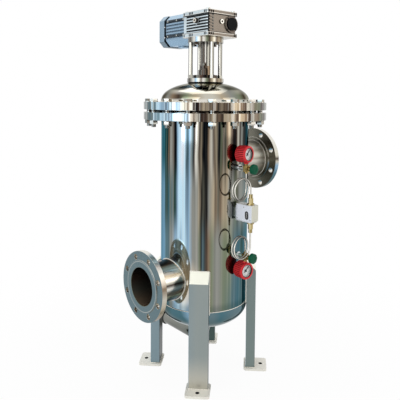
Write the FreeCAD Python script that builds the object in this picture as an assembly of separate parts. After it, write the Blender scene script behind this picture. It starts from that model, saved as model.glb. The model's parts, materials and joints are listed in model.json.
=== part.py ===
"""Self cleaning filter: a motor-driven brush filter for pipework.

A polished vessel stands on four legs. Water comes in low on the -X side, rises
inside a cylindrical screen, passes outward through it and leaves high on the
+X side. A geared motor on a lantern turns brushes inside the screen, and the
dirt leaves by the drain under the bottom head, which points +Y. The gauges,
needle valves and the differential-pressure switch stand on the -Y side.
Millimetres, +Z up, origin on the floor on the vessel's axis.
"""
import FreeCAD, Part
import math
import os

V = FreeCAD.Vector
UP = V(0, 0, 1)

# Vessel
shell_r = 190.0
shell_wall = 5.0
seam_z = 309.0
bottom_straight = 18.0
bottom_rise = 95.0
dome_straight = 9.0
dome_rise = 78.0

# Cover joint
body_flange_z = 1093.0
flange_rim = 23.0
flange_t = 32.0
raised_t = 3.0
raised_width = 37.0
gasket_t = 5.0
shell_set_back = 5.0
cover_bolt_count = 16
bolt_circle_out = 52.0
cover_bolt_r = 10.0
cover_bolt_hole_r = 11.0
cover_bolt_head_t = 13.0
cover_bolt_across = 30.0
cover_nut_t = 17.0
cover_bolt_tail = 12.0

# Inlet and outlet nozzles
inlet_z = 425.0
outlet_z = 903.0
nozzle_stub = 138.0
nozzle_r = 84.15
nozzle_bore_r = 77.0
nozzle_flange_r = 142.5
nozzle_flange_t = 22.0
nozzle_raised_r = 106.0
nozzle_raised_t = 3.0
nozzle_hub_r = 100.0
nozzle_hub_t = 6.0
nozzle_bolt_circle_r = 120.0
nozzle_bolt_hole_r = 11.0
nozzle_bolt_count = 8

# Drain
drain_r = 30.15
drain_wall = 3.0
drain_drop = 74.0
drain_elbow_r = 55.0
drain_out = 110.0
drain_collar_r = 36.0
drain_collar_length = 30.0

# Legs and foot plates
leg_width = 80.0
leg_depth = 40.0
leg_wall = 4.0
leg_top_z = 482.0
foot_t = 10.0
foot_length = 100.0
foot_width = 100.0
foot_inset = 8.0
foot_corner_r = 12.0
foot_hole_r = 7.0
foot_hole_out = 66.0

# Screen and what holds it
seat_z = 592.0
seat_t = 10.0
seat_land = 18.0
seat_arm_width = 14.0
seat_arm_angle = 30.0
seat_hub_r = 36.0
annulus = 45.0
screen_wall = 3.0
screen_top_drop = 50.0
screen_slot_rows = 3
screen_slot_count = 12
screen_slot_width = 44.0
screen_band = 16.0
lid_t = 10.0
bush_wall = 6.0
bush_length = 22.0

# Shaft and brushes
shaft_r = 19.0
shaft_end_z = 578.0
running_gap = 0.05
collar_r = 32.0
collar_t = 26.0
collar_inset = 60.0
arm_r = 7.0
brush_tip_gap = 0.6
brush_depth = 16.0
brush_half_width = 6.0
brush_back_t = 8.0
brush_end_gap = 14.0
brush_bar_half_width = 9.0

# Lantern between the cover and the gear unit
base_sink = 2.0
lantern_base_r = 79.0
lantern_base_t = 16.0
lantern_pad_r = 74.0
pad_chamfer = 4.0
box_flange_r = 54.0
box_flange_t = 14.5
packing_box_r = 30.0
box_rise = 22.5
box_neck = 20.0
packing_depth = 30.0
packing_width = 8.0
packing_count = 3
packing_t = 7.0
follower_stand = 5.0
follower_t = 12.0
follower_boss_r = 26.0
follower_gap = 0.1
follower_ear_r = 11.0
stud_place_r = 43.0
stud_r = 5.0
stud_reach = 25.0
stud_nut_t = 8.0
stud_nut_across = 16.0
stud_angle = 45.0
pillar_r = 9.0
pillar_place_r = 69.0
pillar_angle = -17.5
pillar_hex_across = 20.0
pillar_hex_t = 14.5
pillar_count = 4
lantern_room = 152.0
lantern_top_r = 76.5
lantern_top_t = 22.5
lantern_bore_r = 25.0
lantern_screw_place_r = 62.0
lantern_screw_angle = 11.5
lantern_screw_r = 5.0
lantern_screw_across = 17.0
lantern_screw_head_t = 10.0

# Gear unit
gear_x0 = -65.0
gear_side = 32.0
gear_y0 = -90.0
gear_y1 = 77.0
gear_cover_t = 16.5
gear_cover_lip = 5.0
gear_height = 107.5
gear_corner_r = 10.0
worm_x = 63.0
worm_rise = 55.5
fin_count = 6
fin_t = 5.0
fin_pitch = 12.0
fin_depth = 9.0
fin_y1 = 52.0
wheel_room_gap = 2.0
wheel_t = 26.0
wheel_tooth_count = 40
wheel_tooth_depth = 4.0
wheel_hub_r = 31.0
wheel_hub_t = 44.0
worm_r = 13.0
worm_length = 70.0
worm_pitch = 8.0
mesh_gap = 0.5
thread_gap = 0.5
worm_room_r = 19.0
journal_r = 10.0
journal_length = 16.0
end_cover_r = 35.0
end_cover_t = 7.0
bore_cap_r = 27.0
bore_cap_t = 5.0
end_screw_place_r = 31.0
end_screw_r = 3.0
end_screw_t = 2.0
level_plug_x = 10.0
level_plug_rise = 7.0
level_plug_r = 10.0
level_plug_t = 5.0
groove_return_x = -34.0
groove_return_depth = 5.0
breather_y = -16.0
breather_rise = 11.0
breather_r = 12.0
breather_t = 12.0
breather_boss_r = 16.0
gear_screw_r = 4.0
gear_screw_head_r = 7.0
gear_screw_head_t = 7.0
gear_screw_fin_inset = 14.0
gear_screw_side_inset = 7.5
gear_screw_end_inset = 13.0

# Motor
motor_half = 71.0
motor_chamfer = 24.0
motor_front_t = 14.0
motor_y1 = 279.0
motor_bore_r = 46.0
motor_rear_wall = 12.0
motor_groove_count = 6
motor_groove_t = 7.0
motor_groove_depth = 8.0
shield_step = 5.0
shield_y1 = 297.0
lug_width = 20.0
lug_length = 4.0
motor_pad_r = 28.0
motor_pad_t = 7.0
motor_pad_y = 232.0
rotor_r = 40.0
rotor_y0 = 115.0
rotor_y1 = 245.0
cowl_y0 = 293.0
cowl_y1 = 331.0
cowl_wall = 2.0
cowl_lip = 2.0
cowl_slot_count = 12
cowl_slot_r0 = 18.0
cowl_slot_r1 = 52.0
cowl_slot_width = 6.0
fan_r = 58.0
fan_hub_r = 16.0
fan_y0 = 300.0
fan_y1 = 318.0
fan_plate_t = 3.0
fan_blade_count = 7
fan_blade_t = 3.0
terminal_y0 = 120.0
terminal_y1 = 215.0
terminal_out = 42.0
terminal_half_height = 50.0
terminal_lid_t = 8.0
terminal_corner_r = 8.0
terminal_groove = 1.0

# Instruments, all on one upright plane turned a little from -Y
instrument_angle = 4.0
upper_valve_z = 902.0
lower_valve_z = 540.0
socket_r = 13.0
socket_out = 16.0
tail_r = 8.5
tap_hole_r = 4.0
block_out = 40.0
block_depth = 24.0
block_half_width = 11.0
block_half_height = 13.0
port_r = 7.5
port_t = 7.0
bonnet_r = 8.5
bonnet_length = 14.0
spindle_r = 4.0
spindle_inset = 12.0
end_room = 0.5
knob_r = 21.0
knob_stand = 6.0
knob_t = 17.0
knob_hub_r = 11.0
knob_hub_gap = 1.0
flute_count = 8
flute_r = 5.0
flute_place_r = 24.0
gauge_rise = 58.0
gauge_case_r = 30.0
gauge_boot_r = 35.0
gauge_out = 16.0
gauge_depth = 50.0
boot_back_t = 4.0
boot_lip_t = 3.0
boot_lip_r = 28.5
dial_depth = 8.0
dial_r = 28.0
lens_t = 2.0
gauge_stem_r = 6.0
pointer_t = 1.0
pointer_lift = 1.5
pointer_hub_r = 3.5
pointer_length = 21.0
pointer_tail = 9.0
pointer_width = 2.0
pointer_pin_r = 1.2
pointer_pin_depth = 5.0
upper_gauge_turn = 6.0
lower_gauge_turn = -7.0
upper_pointer_rest = 42.0
lower_pointer_rest = 45.0

# Differential-pressure switch and its tubes
switch_out = 17.0
switch_depth = 84.0
switch_t0 = -20.0
switch_t1 = 22.0
switch_z0 = 692.0
switch_z1 = 757.0
switch_edge_r = 3.0
window_inset = 57.0
window_width = 19.0
window_height = 34.0
window_z = 716.0
window_depth = 4.0
window_set_back = 1.0
bracket_t = 5.0
bracket_width = 34.0
fitting_place_t = 0.0
fitting_inset = 61.0
fitting_flange_r = 15.0
fitting_flange_t = 6.0
fitting_hex_across = 18.0
fitting_hex_t = 22.0
fitting_nut_r = 8.0
fitting_nut_t = 15.0
tube_r = 3.0
coil_r = 44.0
coil_turn_count = 2
upper_coil_z = 823.0
lower_coil_z = 588.0

# Worked-out places
shell_in_r = shell_r - shell_wall
raised_r = shell_in_r + raised_width
cover_bolt_circle_r = shell_r + bolt_circle_out
flange_r = cover_bolt_circle_r + flange_rim
nozzle_reach = shell_r + nozzle_stub
drain_reach = shell_r + drain_out
foot_inner_r = shell_r - foot_inset
foot_hole_place_r = shell_r + foot_hole_out
screen_r = shell_in_r - annulus
seat_opening_r = screen_r - seat_land
body_top_z = body_flange_z + flange_t
gasket_z = body_top_z + raised_t
cover_face_z = gasket_z + gasket_t
cover_z = cover_face_z + raised_t
cover_top_z = cover_z + flange_t
dome_top_z = cover_top_z + dome_straight + dome_rise
bottom_z = seam_z - bottom_straight - bottom_rise
drain_z = bottom_z - drain_drop
screen_top_z = gasket_z - screen_top_drop
lantern_base_z = dome_top_z - base_sink
box_flange_z = lantern_base_z + lantern_base_t
packing_box_base_z = box_flange_z + box_flange_t
packing_box_z = packing_box_base_z + box_rise
follower_z = packing_box_z + follower_stand
stud_top_z = follower_z + stud_reach
lantern_top_z = box_flange_z + lantern_room
gear_bottom_z = lantern_top_z + lantern_top_t
gear_top_z = gear_bottom_z + gear_height
gear_x1 = worm_x + gear_side
worm_z = gear_bottom_z + worm_rise
level_plug_z = worm_z + level_plug_rise
breather_z = worm_z + breather_rise
shaft_top_z = gear_top_z
screen_in_r = screen_r - screen_wall
seat_top_z = seat_z + seat_t
lid_top_z = screen_top_z + lid_t
bush_r = shaft_r + running_gap + bush_wall
wheel_r = worm_x - worm_r - mesh_gap
cowl_half = motor_half + cowl_lip
shield_half = motor_half - shield_step
upper_gauge_z = upper_valve_z + gauge_rise
lower_gauge_z = lower_valve_z - gauge_rise
socket_end = shell_r + socket_out
block_r0 = shell_r + block_out
block_r1 = block_r0 + block_depth
stem_place_r = (block_r0 + block_r1) / 2
bonnet_end = block_r1 + bonnet_length
spindle_start = bonnet_end - spindle_inset
knob_start = bonnet_end + knob_stand
knob_hub_start = bonnet_end + knob_hub_gap
gauge_back = shell_r + gauge_out
gauge_front = gauge_back + gauge_depth
switch_r0 = shell_r + switch_out
switch_r1 = switch_r0 + switch_depth
window_place_r = switch_r0 + window_inset
fitting_place_r = switch_r0 + fitting_inset


def upright(r, z0, z1, x=0.0, y=0.0):
    """A solid cylinder along Z."""
    return Part.makeCylinder(r, z1 - z0, V(x, y, z0))


def rod(r, start, end):
    """A solid cylinder between two points."""
    run = end - start
    return Part.makeCylinder(r, run.Length, start, run)


def block(x0, x1, y0, y1, z0, z1):
    """A box from its limits."""
    return Part.makeBox(x1 - x0, y1 - y0, z1 - z0, V(x0, y0, z0))


def ring(r_out, r_in, z0, z1):
    """A flat ring around Z."""
    return upright(r_out, z0, z1).cut(upright(r_in, z0, z1))


def lathe(points):
    """A solid turned around Z from (radius, height) points."""
    wire = Part.makePolygon([V(r, 0, z) for r, z in points + points[:1]])
    return Part.Face(wire).revolve(V(0, 0, 0), UP, 360)


def hexagon(across, z0, z1, x=0.0, y=0.0, turn=0.0):
    """A hexagonal prism along Z, given its width across flats."""
    corner = across / math.sqrt(3)
    angles = [math.radians(turn + 60 * k) for k in range(7)]
    wire = Part.makePolygon([V(x + corner * math.cos(a), y + corner * math.sin(a), z0)
                             for a in angles])
    return Part.Face(wire).extrude(V(0, 0, z1 - z0))


def turned(shape, angle, centre=V(0, 0, 0), axis=UP):
    """A copy turned about an axis."""
    copy = shape.copy()
    copy.rotate(centre, axis, angle)
    return copy


def spread(shape, count, first=0.0):
    """Copies of a shape spaced evenly around Z."""
    return [turned(shape, first + k * 360.0 / count) for k in range(count)]


def toward(shape, angle):
    """A shape built around Z, laid over so that its top points out at an angle in plan."""
    lying = turned(shape, 90, axis=V(0, 1, 0))
    return turned(lying, angle)


def joined(shapes):
    """One solid from overlapping shapes."""
    return shapes[0].fuse(shapes[1:]).removeSplitter()


def rounded_plate(x0, x1, y0, y1, z0, z1, corner):
    """A box with its four upright edges rounded."""
    plate = block(x0, x1, y0, y1, z0, z1)
    edges = [e for e in plate.Edges if abs(e.tangentAt(e.FirstParameter).z) > 0.9]
    return plate.makeFillet(corner, edges)


def dished_head(z, sense, straight, rise):
    """A head with an elliptical meridian: a straight skirt from z, then the crown."""
    crown_z = z + sense * straight
    centre = V(0, 0, crown_z)

    def meridian(r, height):
        curve = Part.Ellipse(V(r, 0, crown_z), V(0, 0, crown_z + sense * height), centre)
        return curve.toShape(0, math.pi / 2)

    inner_r = shell_r - shell_wall
    inner_rise = rise - shell_wall
    edges = [
        Part.makeLine(V(shell_r, 0, z), V(shell_r, 0, crown_z)),
        meridian(shell_r, rise),
        Part.makeLine(V(0, 0, crown_z + sense * rise), V(0, 0, crown_z + sense * inner_rise)),
        meridian(inner_r, inner_rise),
        Part.makeLine(V(inner_r, 0, crown_z), V(inner_r, 0, z)),
        Part.makeLine(V(inner_r, 0, z), V(shell_r, 0, z)),
    ]
    face = Part.Face(Part.Wire(Part.__sortEdges__(edges)))
    return face.revolve(V(0, 0, 0), UP, 360)


def vessel_shell():
    """The cylinder wall, bored for the two nozzles and the two pressure taps."""
    wall = ring(shell_r, shell_in_r, seam_z, body_top_z - shell_set_back)
    inlet_bore = rod(nozzle_bore_r, V(0, 0, inlet_z), V(-shell_r - 10, 0, inlet_z))
    outlet_bore = rod(nozzle_bore_r, V(0, 0, outlet_z), V(shell_r + 10, 0, outlet_z))
    taps = [instrument(rod(tap_hole_r, V(0, 0, z), V(0, -socket_end, z)))
            for z in (upper_valve_z, lower_valve_z)]
    return wall.cut([inlet_bore, outlet_bore] + taps)


def bottom_head():
    """The lower dished head with its drain hole."""
    head = dished_head(seam_z, -1, bottom_straight, bottom_rise)
    return head.cut(upright(drain_r - drain_wall, bottom_z - 10, seam_z))


def bolt_holes(hole_r, circle_r, count, z0, z1):
    """Holes on a circle that straddle the main axes."""
    return spread(upright(hole_r, z0, z1, circle_r), count, 180.0 / count)


def cover_flange_ring(in_r, z0, raised_z0, raised_z1):
    """One flange of the cover joint with its raised face."""
    plate = ring(flange_r, in_r, z0, z0 + flange_t)
    face = ring(raised_r, in_r, raised_z0, raised_z1)
    holes = bolt_holes(cover_bolt_hole_r, cover_bolt_circle_r, cover_bolt_count,
                       z0 - 1, z0 + flange_t + 1)
    return joined([plate, face]).cut(holes)


def body_flange():
    """The flange welded round the top of the shell."""
    plate = cover_flange_ring(shell_in_r, body_flange_z, body_top_z, gasket_z)
    return plate.cut(upright(shell_r, body_flange_z - 1, body_top_z - shell_set_back))


def cover_flange():
    """The flange that the dome is welded to."""
    return cover_flange_ring(shell_in_r, cover_z, cover_face_z, cover_z)


def cover_gasket():
    """The flat ring pressed between the two raised faces."""
    return ring(raised_r, shell_in_r, gasket_z, cover_face_z)


def cover_dome():
    """The dished cover, open at the crown for the packing box."""
    dome = dished_head(cover_top_z, 1, dome_straight, dome_rise)
    return dome.cut(upright(packing_box_r, cover_top_z, dome_top_z + 1))


def cover_bolts():
    """Sixteen hexagon-head bolts through both flanges."""
    tail_z = body_flange_z - cover_nut_t - cover_bolt_tail
    shank = upright(cover_bolt_r, tail_z, cover_top_z, cover_bolt_circle_r)
    head = hexagon(cover_bolt_across, cover_top_z, cover_top_z + cover_bolt_head_t,
                   cover_bolt_circle_r)
    bolt = joined([shank, head])
    return Part.makeCompound(spread(bolt, cover_bolt_count, 180.0 / cover_bolt_count))


def cover_nuts():
    """The nuts under the body flange."""
    z0 = body_flange_z - cover_nut_t
    nut = hexagon(cover_bolt_across, z0, body_flange_z, cover_bolt_circle_r)
    nut = nut.cut(upright(cover_bolt_r, z0, body_flange_z, cover_bolt_circle_r))
    return Part.makeCompound(spread(nut, cover_bolt_count, 180.0 / cover_bolt_count))


def nozzle_pipe(z):
    """A pipe stub pointing +X, saddle-cut to the shell."""
    start = V(0, 0, z)
    end = V(nozzle_reach - nozzle_raised_t, 0, z)
    pipe = rod(nozzle_r, start, end)
    pipe = pipe.cut(upright(shell_r, z - nozzle_flange_r, z + nozzle_flange_r))
    return pipe.cut(rod(nozzle_bore_r, start, end))


def nozzle_flange(z):
    """A flange for a nozzle pointing +X: plate, hub at the back and raised face."""
    plate = upright(nozzle_flange_r, 0, nozzle_flange_t)
    hub = upright(nozzle_hub_r, -nozzle_hub_t, 0)
    face = upright(nozzle_raised_r, nozzle_flange_t, nozzle_flange_t + nozzle_raised_t)
    body = joined([plate, hub, face])
    top = nozzle_flange_t + nozzle_raised_t
    body = body.cut(upright(nozzle_r, -nozzle_hub_t, nozzle_flange_t))
    body = body.cut(upright(nozzle_bore_r, 0, top))
    body = body.cut(bolt_holes(nozzle_bolt_hole_r, nozzle_bolt_circle_r, nozzle_bolt_count,
                               -1, top))
    lying = toward(body, 0)
    lying.translate(V(nozzle_reach - top, 0, z))
    return lying


def drain_pipe():
    """An elbow from the bottom head and a level run to the drain flange."""
    def bent(r):
        turn_z = drain_z + drain_elbow_r
        elbow = Part.makeTorus(drain_elbow_r, r, V(0, drain_elbow_r, turn_z), V(1, 0, 0))
        corner = block(-2 * r, 2 * r, -2 * r, drain_elbow_r, drain_z - 2 * r, turn_z)
        drop = upright(r, turn_z, bottom_z + bottom_rise)
        run = rod(r, V(0, drain_elbow_r, drain_z), V(0, drain_reach, drain_z))
        return joined([elbow.common(corner), drop, run])

    head_volume = head_solid(seam_z, -1, bottom_straight, bottom_rise)
    return bent(drain_r).cut(bent(drain_r - drain_wall)).cut(head_volume)


def head_solid(z, sense, straight, rise):
    """The full volume inside the outer face of a dished head."""
    crown_z = z + sense * straight
    centre = V(0, 0, crown_z)
    curve = Part.Ellipse(V(shell_r, 0, crown_z), V(0, 0, crown_z + sense * rise), centre)
    edges = [
        Part.makeLine(V(shell_r, 0, z), V(shell_r, 0, crown_z)),
        curve.toShape(0, math.pi / 2),
        Part.makeLine(V(0, 0, crown_z + sense * rise), V(0, 0, z)),
        Part.makeLine(V(0, 0, z), V(shell_r, 0, z)),
    ]
    face = Part.Face(Part.Wire(Part.__sortEdges__(edges)))
    return face.revolve(V(0, 0, 0), UP, 360)


def drain_collar():
    """The thick collar on the drain's end."""
    collar = toward(ring(drain_collar_r, drain_r, 0, drain_collar_length), 90)
    collar.translate(V(0, drain_reach - drain_collar_length, drain_z))
    return collar


def leg(angle):
    """A rectangular tube on end, its top mitred at 45 degrees and closed."""
    inner = shell_r
    outer = shell_r + leg_depth
    drop = leg_wall * math.sqrt(2)

    def profile(r0, r1, half, lower):
        points = [(r0, foot_t), (r1, foot_t), (r1, leg_top_z - (r1 - inner) - lower),
                  (r0, leg_top_z - (r0 - inner) - lower)]
        wire = Part.makePolygon([V(r, -half, z) for r, z in points + points[:1]])
        return Part.Face(wire).extrude(V(0, 2 * half, 0))

    tube = profile(inner, outer, leg_width / 2, 0)
    room = profile(inner + leg_wall, outer - leg_wall, leg_width / 2 - leg_wall, drop)
    return turned(tube.cut(room), angle)


def foot_plates():
    """Four square plates with rounded corners and one anchor hole each."""
    plate = rounded_plate(foot_inner_r, foot_inner_r + foot_length,
                          -foot_width / 2, foot_width / 2, 0, foot_t, foot_corner_r)
    plate = plate.cut(upright(foot_hole_r, -1, foot_t + 1, foot_hole_place_r))
    return Part.makeCompound(spread(plate, 4, 45))


def screen_seat():
    """The ring plate that splits the vessel, with three arms and a hub for the lower bush."""
    plate = ring(shell_in_r, seat_opening_r, seat_z, seat_top_z)
    hub = upright(seat_hub_r, seat_z, seat_top_z)
    arm = block(0, seat_opening_r + 2, -seat_arm_width / 2, seat_arm_width / 2,
                seat_z, seat_top_z)
    body = joined([plate, hub] + spread(arm, 3, seat_arm_angle))
    return body.cut(upright(bush_r, seat_z, seat_top_z))


def filter_screen():
    """The slotted screen cylinder."""
    wall = ring(screen_r, screen_in_r, seat_top_z, screen_top_z)
    pitch = (screen_top_z - seat_top_z - screen_band) / screen_slot_rows
    slots = []
    for row in range(screen_slot_rows):
        z0 = seat_top_z + screen_band + row * pitch
        half_turns = screen_slot_count // 2
        through = block(-screen_r - 5, screen_r + 5, -screen_slot_width / 2,
                        screen_slot_width / 2, z0, z0 + pitch - screen_band)
        slots += [turned(through, k * 180.0 / half_turns) for k in range(half_turns)]
    return wall.cut(slots)


def screen_lid():
    """The disc on the screen that carries the upper bush."""
    lid = upright(screen_r, screen_top_z, lid_top_z)
    return lid.cut(upright(bush_r, screen_top_z, lid_top_z))


def shaft_bushes():
    """Two plain bushes for the drive shaft, flush in the hub and in the lid."""
    bore = shaft_r + running_gap
    lower = ring(bush_r, bore, seat_top_z - bush_length, seat_top_z)
    upper = ring(bush_r, bore, lid_top_z - bush_length, lid_top_z)
    return Part.makeCompound([lower, upper])


def drive_shaft():
    """The long shaft from the lower bush to the top of the gear unit."""
    shaft = upright(shaft_r, shaft_end_z, shaft_top_z)
    lower_edge = [e for e in shaft.Edges if abs(e.CenterOfMass.z - shaft_end_z) < 0.1]
    return shaft.makeChamfer(2.0, lower_edge)


def brush_frame():
    """Two collars with crossed arms that hold the brush backs."""
    bar_out = screen_in_r - brush_tip_gap - brush_depth
    bar_in = bar_out - brush_back_t
    z0 = seat_top_z + brush_end_gap
    z1 = screen_top_z - brush_end_gap
    parts = []
    for z in (z0 + collar_inset, z1 - collar_inset):
        parts.append(upright(collar_r, z - collar_t / 2, z + collar_t / 2))
        parts.append(rod(arm_r, V(-bar_in - 1, 0, z), V(bar_in + 1, 0, z)))
    for side in (-1, 1):
        x0, x1 = sorted((side * bar_in, side * bar_out))
        parts.append(block(x0, x1, -brush_bar_half_width, brush_bar_half_width, z0, z1))
    return joined(parts).cut(upright(shaft_r, z0, z1))


def cleaning_brushes():
    """Two bristle strips that reach to the screen."""
    tip = screen_in_r - brush_tip_gap
    root = tip - brush_depth
    z0 = seat_top_z + brush_end_gap
    z1 = screen_top_z - brush_end_gap
    strip = block(root, tip, -brush_half_width, brush_half_width, z0, z1)
    return Part.makeCompound([strip, turned(strip, 180)])


def lantern_base():
    """The pad and disc on the crown of the dome."""
    pad_z = lantern_base_z
    outline = [(packing_box_r, dome_top_z - dome_rise), (lantern_pad_r, dome_top_z - dome_rise),
               (lantern_pad_r, pad_z - pad_chamfer), (lantern_base_r, pad_z),
               (lantern_base_r, box_flange_z), (packing_box_r, box_flange_z)]
    body = lathe(outline)
    return body.cut(head_solid(cover_top_z, 1, dome_straight, dome_rise))


def lantern_pillars():
    """Four round pillars with a hexagon foot each."""
    hex_top = box_flange_z + pillar_hex_t
    pillar = upright(pillar_r, box_flange_z, lantern_top_z, pillar_place_r)
    foot = hexagon(pillar_hex_across, box_flange_z, hex_top, pillar_place_r)
    return Part.makeCompound(spread(joined([pillar, foot]), pillar_count, pillar_angle))


def lantern_top():
    """The disc that carries the gear unit."""
    return ring(lantern_top_r, lantern_bore_r, lantern_top_z, gear_bottom_z)


def packing_box():
    """The flanged box on the lantern base that holds the packing round the shaft."""
    neck_z = cover_top_z + dome_straight + dome_rise - shell_wall - box_neck
    flange = upright(box_flange_r, box_flange_z, packing_box_base_z)
    barrel = upright(packing_box_r, neck_z, packing_box_z)
    room = upright(shaft_r + running_gap + packing_width, packing_box_z - packing_depth,
                   packing_box_z)
    bore = upright(shaft_r + running_gap, neck_z, packing_box_z)
    return joined([flange, barrel]).cut([room, bore])


def packing_rings():
    """The packing rings at the bottom of the box."""
    out_r = shaft_r + running_gap + packing_width
    bottom = packing_box_z - packing_depth
    rings = []
    for k in range(packing_count):
        rings.append(ring(out_r, shaft_r + running_gap, bottom + k * packing_t,
                          bottom + (k + 1) * packing_t))
    return Part.makeCompound(rings)


def gland_follower():
    """The two-stud follower that presses the packing."""
    bore = shaft_r + running_gap
    nose_z = packing_box_z - packing_depth + packing_t * packing_count
    nose = upright(bore + packing_width - follower_gap, nose_z, follower_z)
    boss = upright(follower_boss_r, follower_z, follower_z + follower_t)
    ear = upright(follower_ear_r, follower_z, follower_z + follower_t, stud_place_r)
    other = upright(follower_ear_r, follower_z, follower_z + follower_t, -stud_place_r)
    bar = block(-stud_place_r, stud_place_r, -follower_ear_r, follower_ear_r,
                follower_z, follower_z + follower_t)
    body = joined([nose, boss, ear, other, bar])
    holes = [upright(stud_r, follower_z, follower_z + follower_t, x)
             for x in (-stud_place_r, stud_place_r)]
    body = body.cut(holes + [upright(bore, nose_z, follower_z + follower_t)])
    return turned(body, stud_angle)


def lantern_fasteners():
    """Gland studs with their nuts, and the screws that hold the gear unit."""
    pieces = []
    nut_z = follower_z + follower_t
    for side in (-1, 1):
        x = side * stud_place_r
        stud = upright(stud_r, packing_box_base_z, stud_top_z, x)
        nut = hexagon(stud_nut_across, nut_z, nut_z + stud_nut_t, x)
        pieces.append(turned(joined([stud, nut]), stud_angle))
    head_z = lantern_top_z - lantern_screw_head_t
    head = hexagon(lantern_screw_across, head_z, lantern_top_z, lantern_screw_place_r)
    pieces += spread(head, 4, lantern_screw_angle)
    return Part.makeCompound(pieces)


def instrument(shape):
    """A shape built on the -Y side, turned to the instruments' plane."""
    return turned(shape, instrument_angle)


def gear_plan(z0, z1, lip):
    """The gear unit's outline in plan, grown by a lip."""
    return rounded_plate(gear_x0 - lip, gear_x1 + lip, gear_y0 - lip, gear_y1, z0, z1,
                         gear_corner_r)


def gear_screw_places():
    """Plan places of the four long screws."""
    xs = (gear_x0 + gear_screw_fin_inset, gear_x1 - gear_screw_side_inset)
    ys = (gear_y0 + gear_screw_end_inset, gear_y1 - gear_screw_end_inset)
    return [(x, y) for x in xs for y in ys]


def gear_screw_holes():
    """Bores for the long screws, through both covers and the housing."""
    return [upright(gear_screw_r, gear_bottom_z, gear_top_z, x, y)
            for x, y in gear_screw_places()]


def along_worm(r, y0, y1):
    """A cylinder on the worm's axis."""
    return rod(r, V(worm_x, y0, worm_z), V(worm_x, y1, worm_z))


def gear_housing():
    """The finned box round the worm and wheel."""
    z0 = gear_bottom_z + gear_cover_t
    z1 = gear_top_z - gear_cover_t
    body = gear_plan(z0, z1, 0)
    cuts = [upright(wheel_r + wheel_room_gap, z0, z1)]
    cuts.append(along_worm(worm_room_r, gear_y0, gear_y1))
    for k in range(fin_count):
        z = worm_z + (k - (fin_count - 1) / 2) * fin_pitch
        half = (fin_pitch - fin_t) / 2
        cuts.append(block(gear_x0, gear_x0 + fin_depth, gear_y0, fin_y1, z - half, z + half))
        cuts.append(block(gear_x0, groove_return_x, gear_y0, gear_y0 + groove_return_depth,
                          z - half, z + half))
    boss = rod(breather_boss_r, V(gear_x0, breather_y, breather_z),
               V(gear_x0 + fin_depth + 1, breather_y, breather_z))
    return body.cut(cuts + gear_screw_holes()).fuse(boss).removeSplitter()


def gear_cover(z0):
    """A cover plate of the gear unit, bored for the shaft."""
    plate = gear_plan(z0, z0 + gear_cover_t, gear_cover_lip)
    bore = upright(shaft_r + running_gap, z0, z0 + gear_cover_t)
    return plate.cut([bore] + gear_screw_holes())


def upper_gear_cover():
    """The cover on top."""
    return gear_cover(gear_top_z - gear_cover_t)


def lower_gear_cover():
    """The cover that stands on the lantern."""
    return gear_cover(gear_bottom_z)


def gear_screws():
    """Four long screws from the upper cover to the lower one."""
    screws = []
    for x, y in gear_screw_places():
        shank = upright(gear_screw_r, gear_bottom_z, gear_top_z, x, y)
        head = upright(gear_screw_head_r, gear_top_z, gear_top_z + gear_screw_head_t, x, y)
        screws.append(joined([shank, head]))
    return Part.makeCompound(screws)


def worm_end_cover():
    """The round cover that carries the worm's free end."""
    plate = along_worm(end_cover_r, gear_y0 - end_cover_t, gear_y0)
    spigot = along_worm(worm_room_r, gear_y0, gear_y0 + journal_length)
    bore = along_worm(journal_r + running_gap, gear_y0 - end_cover_t,
                      gear_y0 + journal_length)
    return joined([plate, spigot]).cut(bore)


def worm_bore_cap():
    """The black cap that closes the end cover, and its four small screws."""
    y0 = gear_y0 - end_cover_t
    cap = along_worm(bore_cap_r, y0 - bore_cap_t, y0)
    screws = []
    for k in range(4):
        angle = math.radians(45 + 90 * k)
        x = worm_x + end_screw_place_r * math.cos(angle)
        z = worm_z + end_screw_place_r * math.sin(angle)
        screws.append(rod(end_screw_r, V(x, y0 - end_screw_t, z), V(x, y0, z)))
    return Part.makeCompound([cap] + screws)


def oil_plugs():
    """The level plug on the -Y face and the breather on the finned face."""
    plug = rod(level_plug_r, V(level_plug_x, gear_y0 - level_plug_t, level_plug_z),
               V(level_plug_x, gear_y0, level_plug_z))
    socket = rod(level_plug_r / 2, V(level_plug_x, gear_y0 - level_plug_t, level_plug_z),
                 V(level_plug_x, gear_y0 - 2, level_plug_z))
    breather = rod(breather_r, V(gear_x0 - breather_t, breather_y, breather_z),
                   V(gear_x0, breather_y, breather_z))
    edge = [e for e in breather.Edges if abs(e.CenterOfMass.x - gear_x0 + breather_t) < 0.1]
    return Part.makeCompound([plug.cut(socket), breather.makeFillet(2.5, edge)])


def worm_wheel():
    """The toothed wheel on the drive shaft."""
    rim = upright(wheel_r, worm_z - wheel_t / 2, worm_z + wheel_t / 2)
    hub = upright(wheel_hub_r, worm_z - wheel_hub_t / 2, worm_z + wheel_hub_t / 2)
    wheel = joined([rim, hub]).cut(upright(shaft_r, worm_z - wheel_hub_t, worm_z + wheel_hub_t))
    gap = math.pi * wheel_r / wheel_tooth_count
    gash = block(wheel_r - wheel_tooth_depth, wheel_r + 1, -gap / 2, gap / 2,
                 worm_z - wheel_t, worm_z + wheel_t)
    return wheel.cut(spread(gash, wheel_tooth_count))


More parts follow.
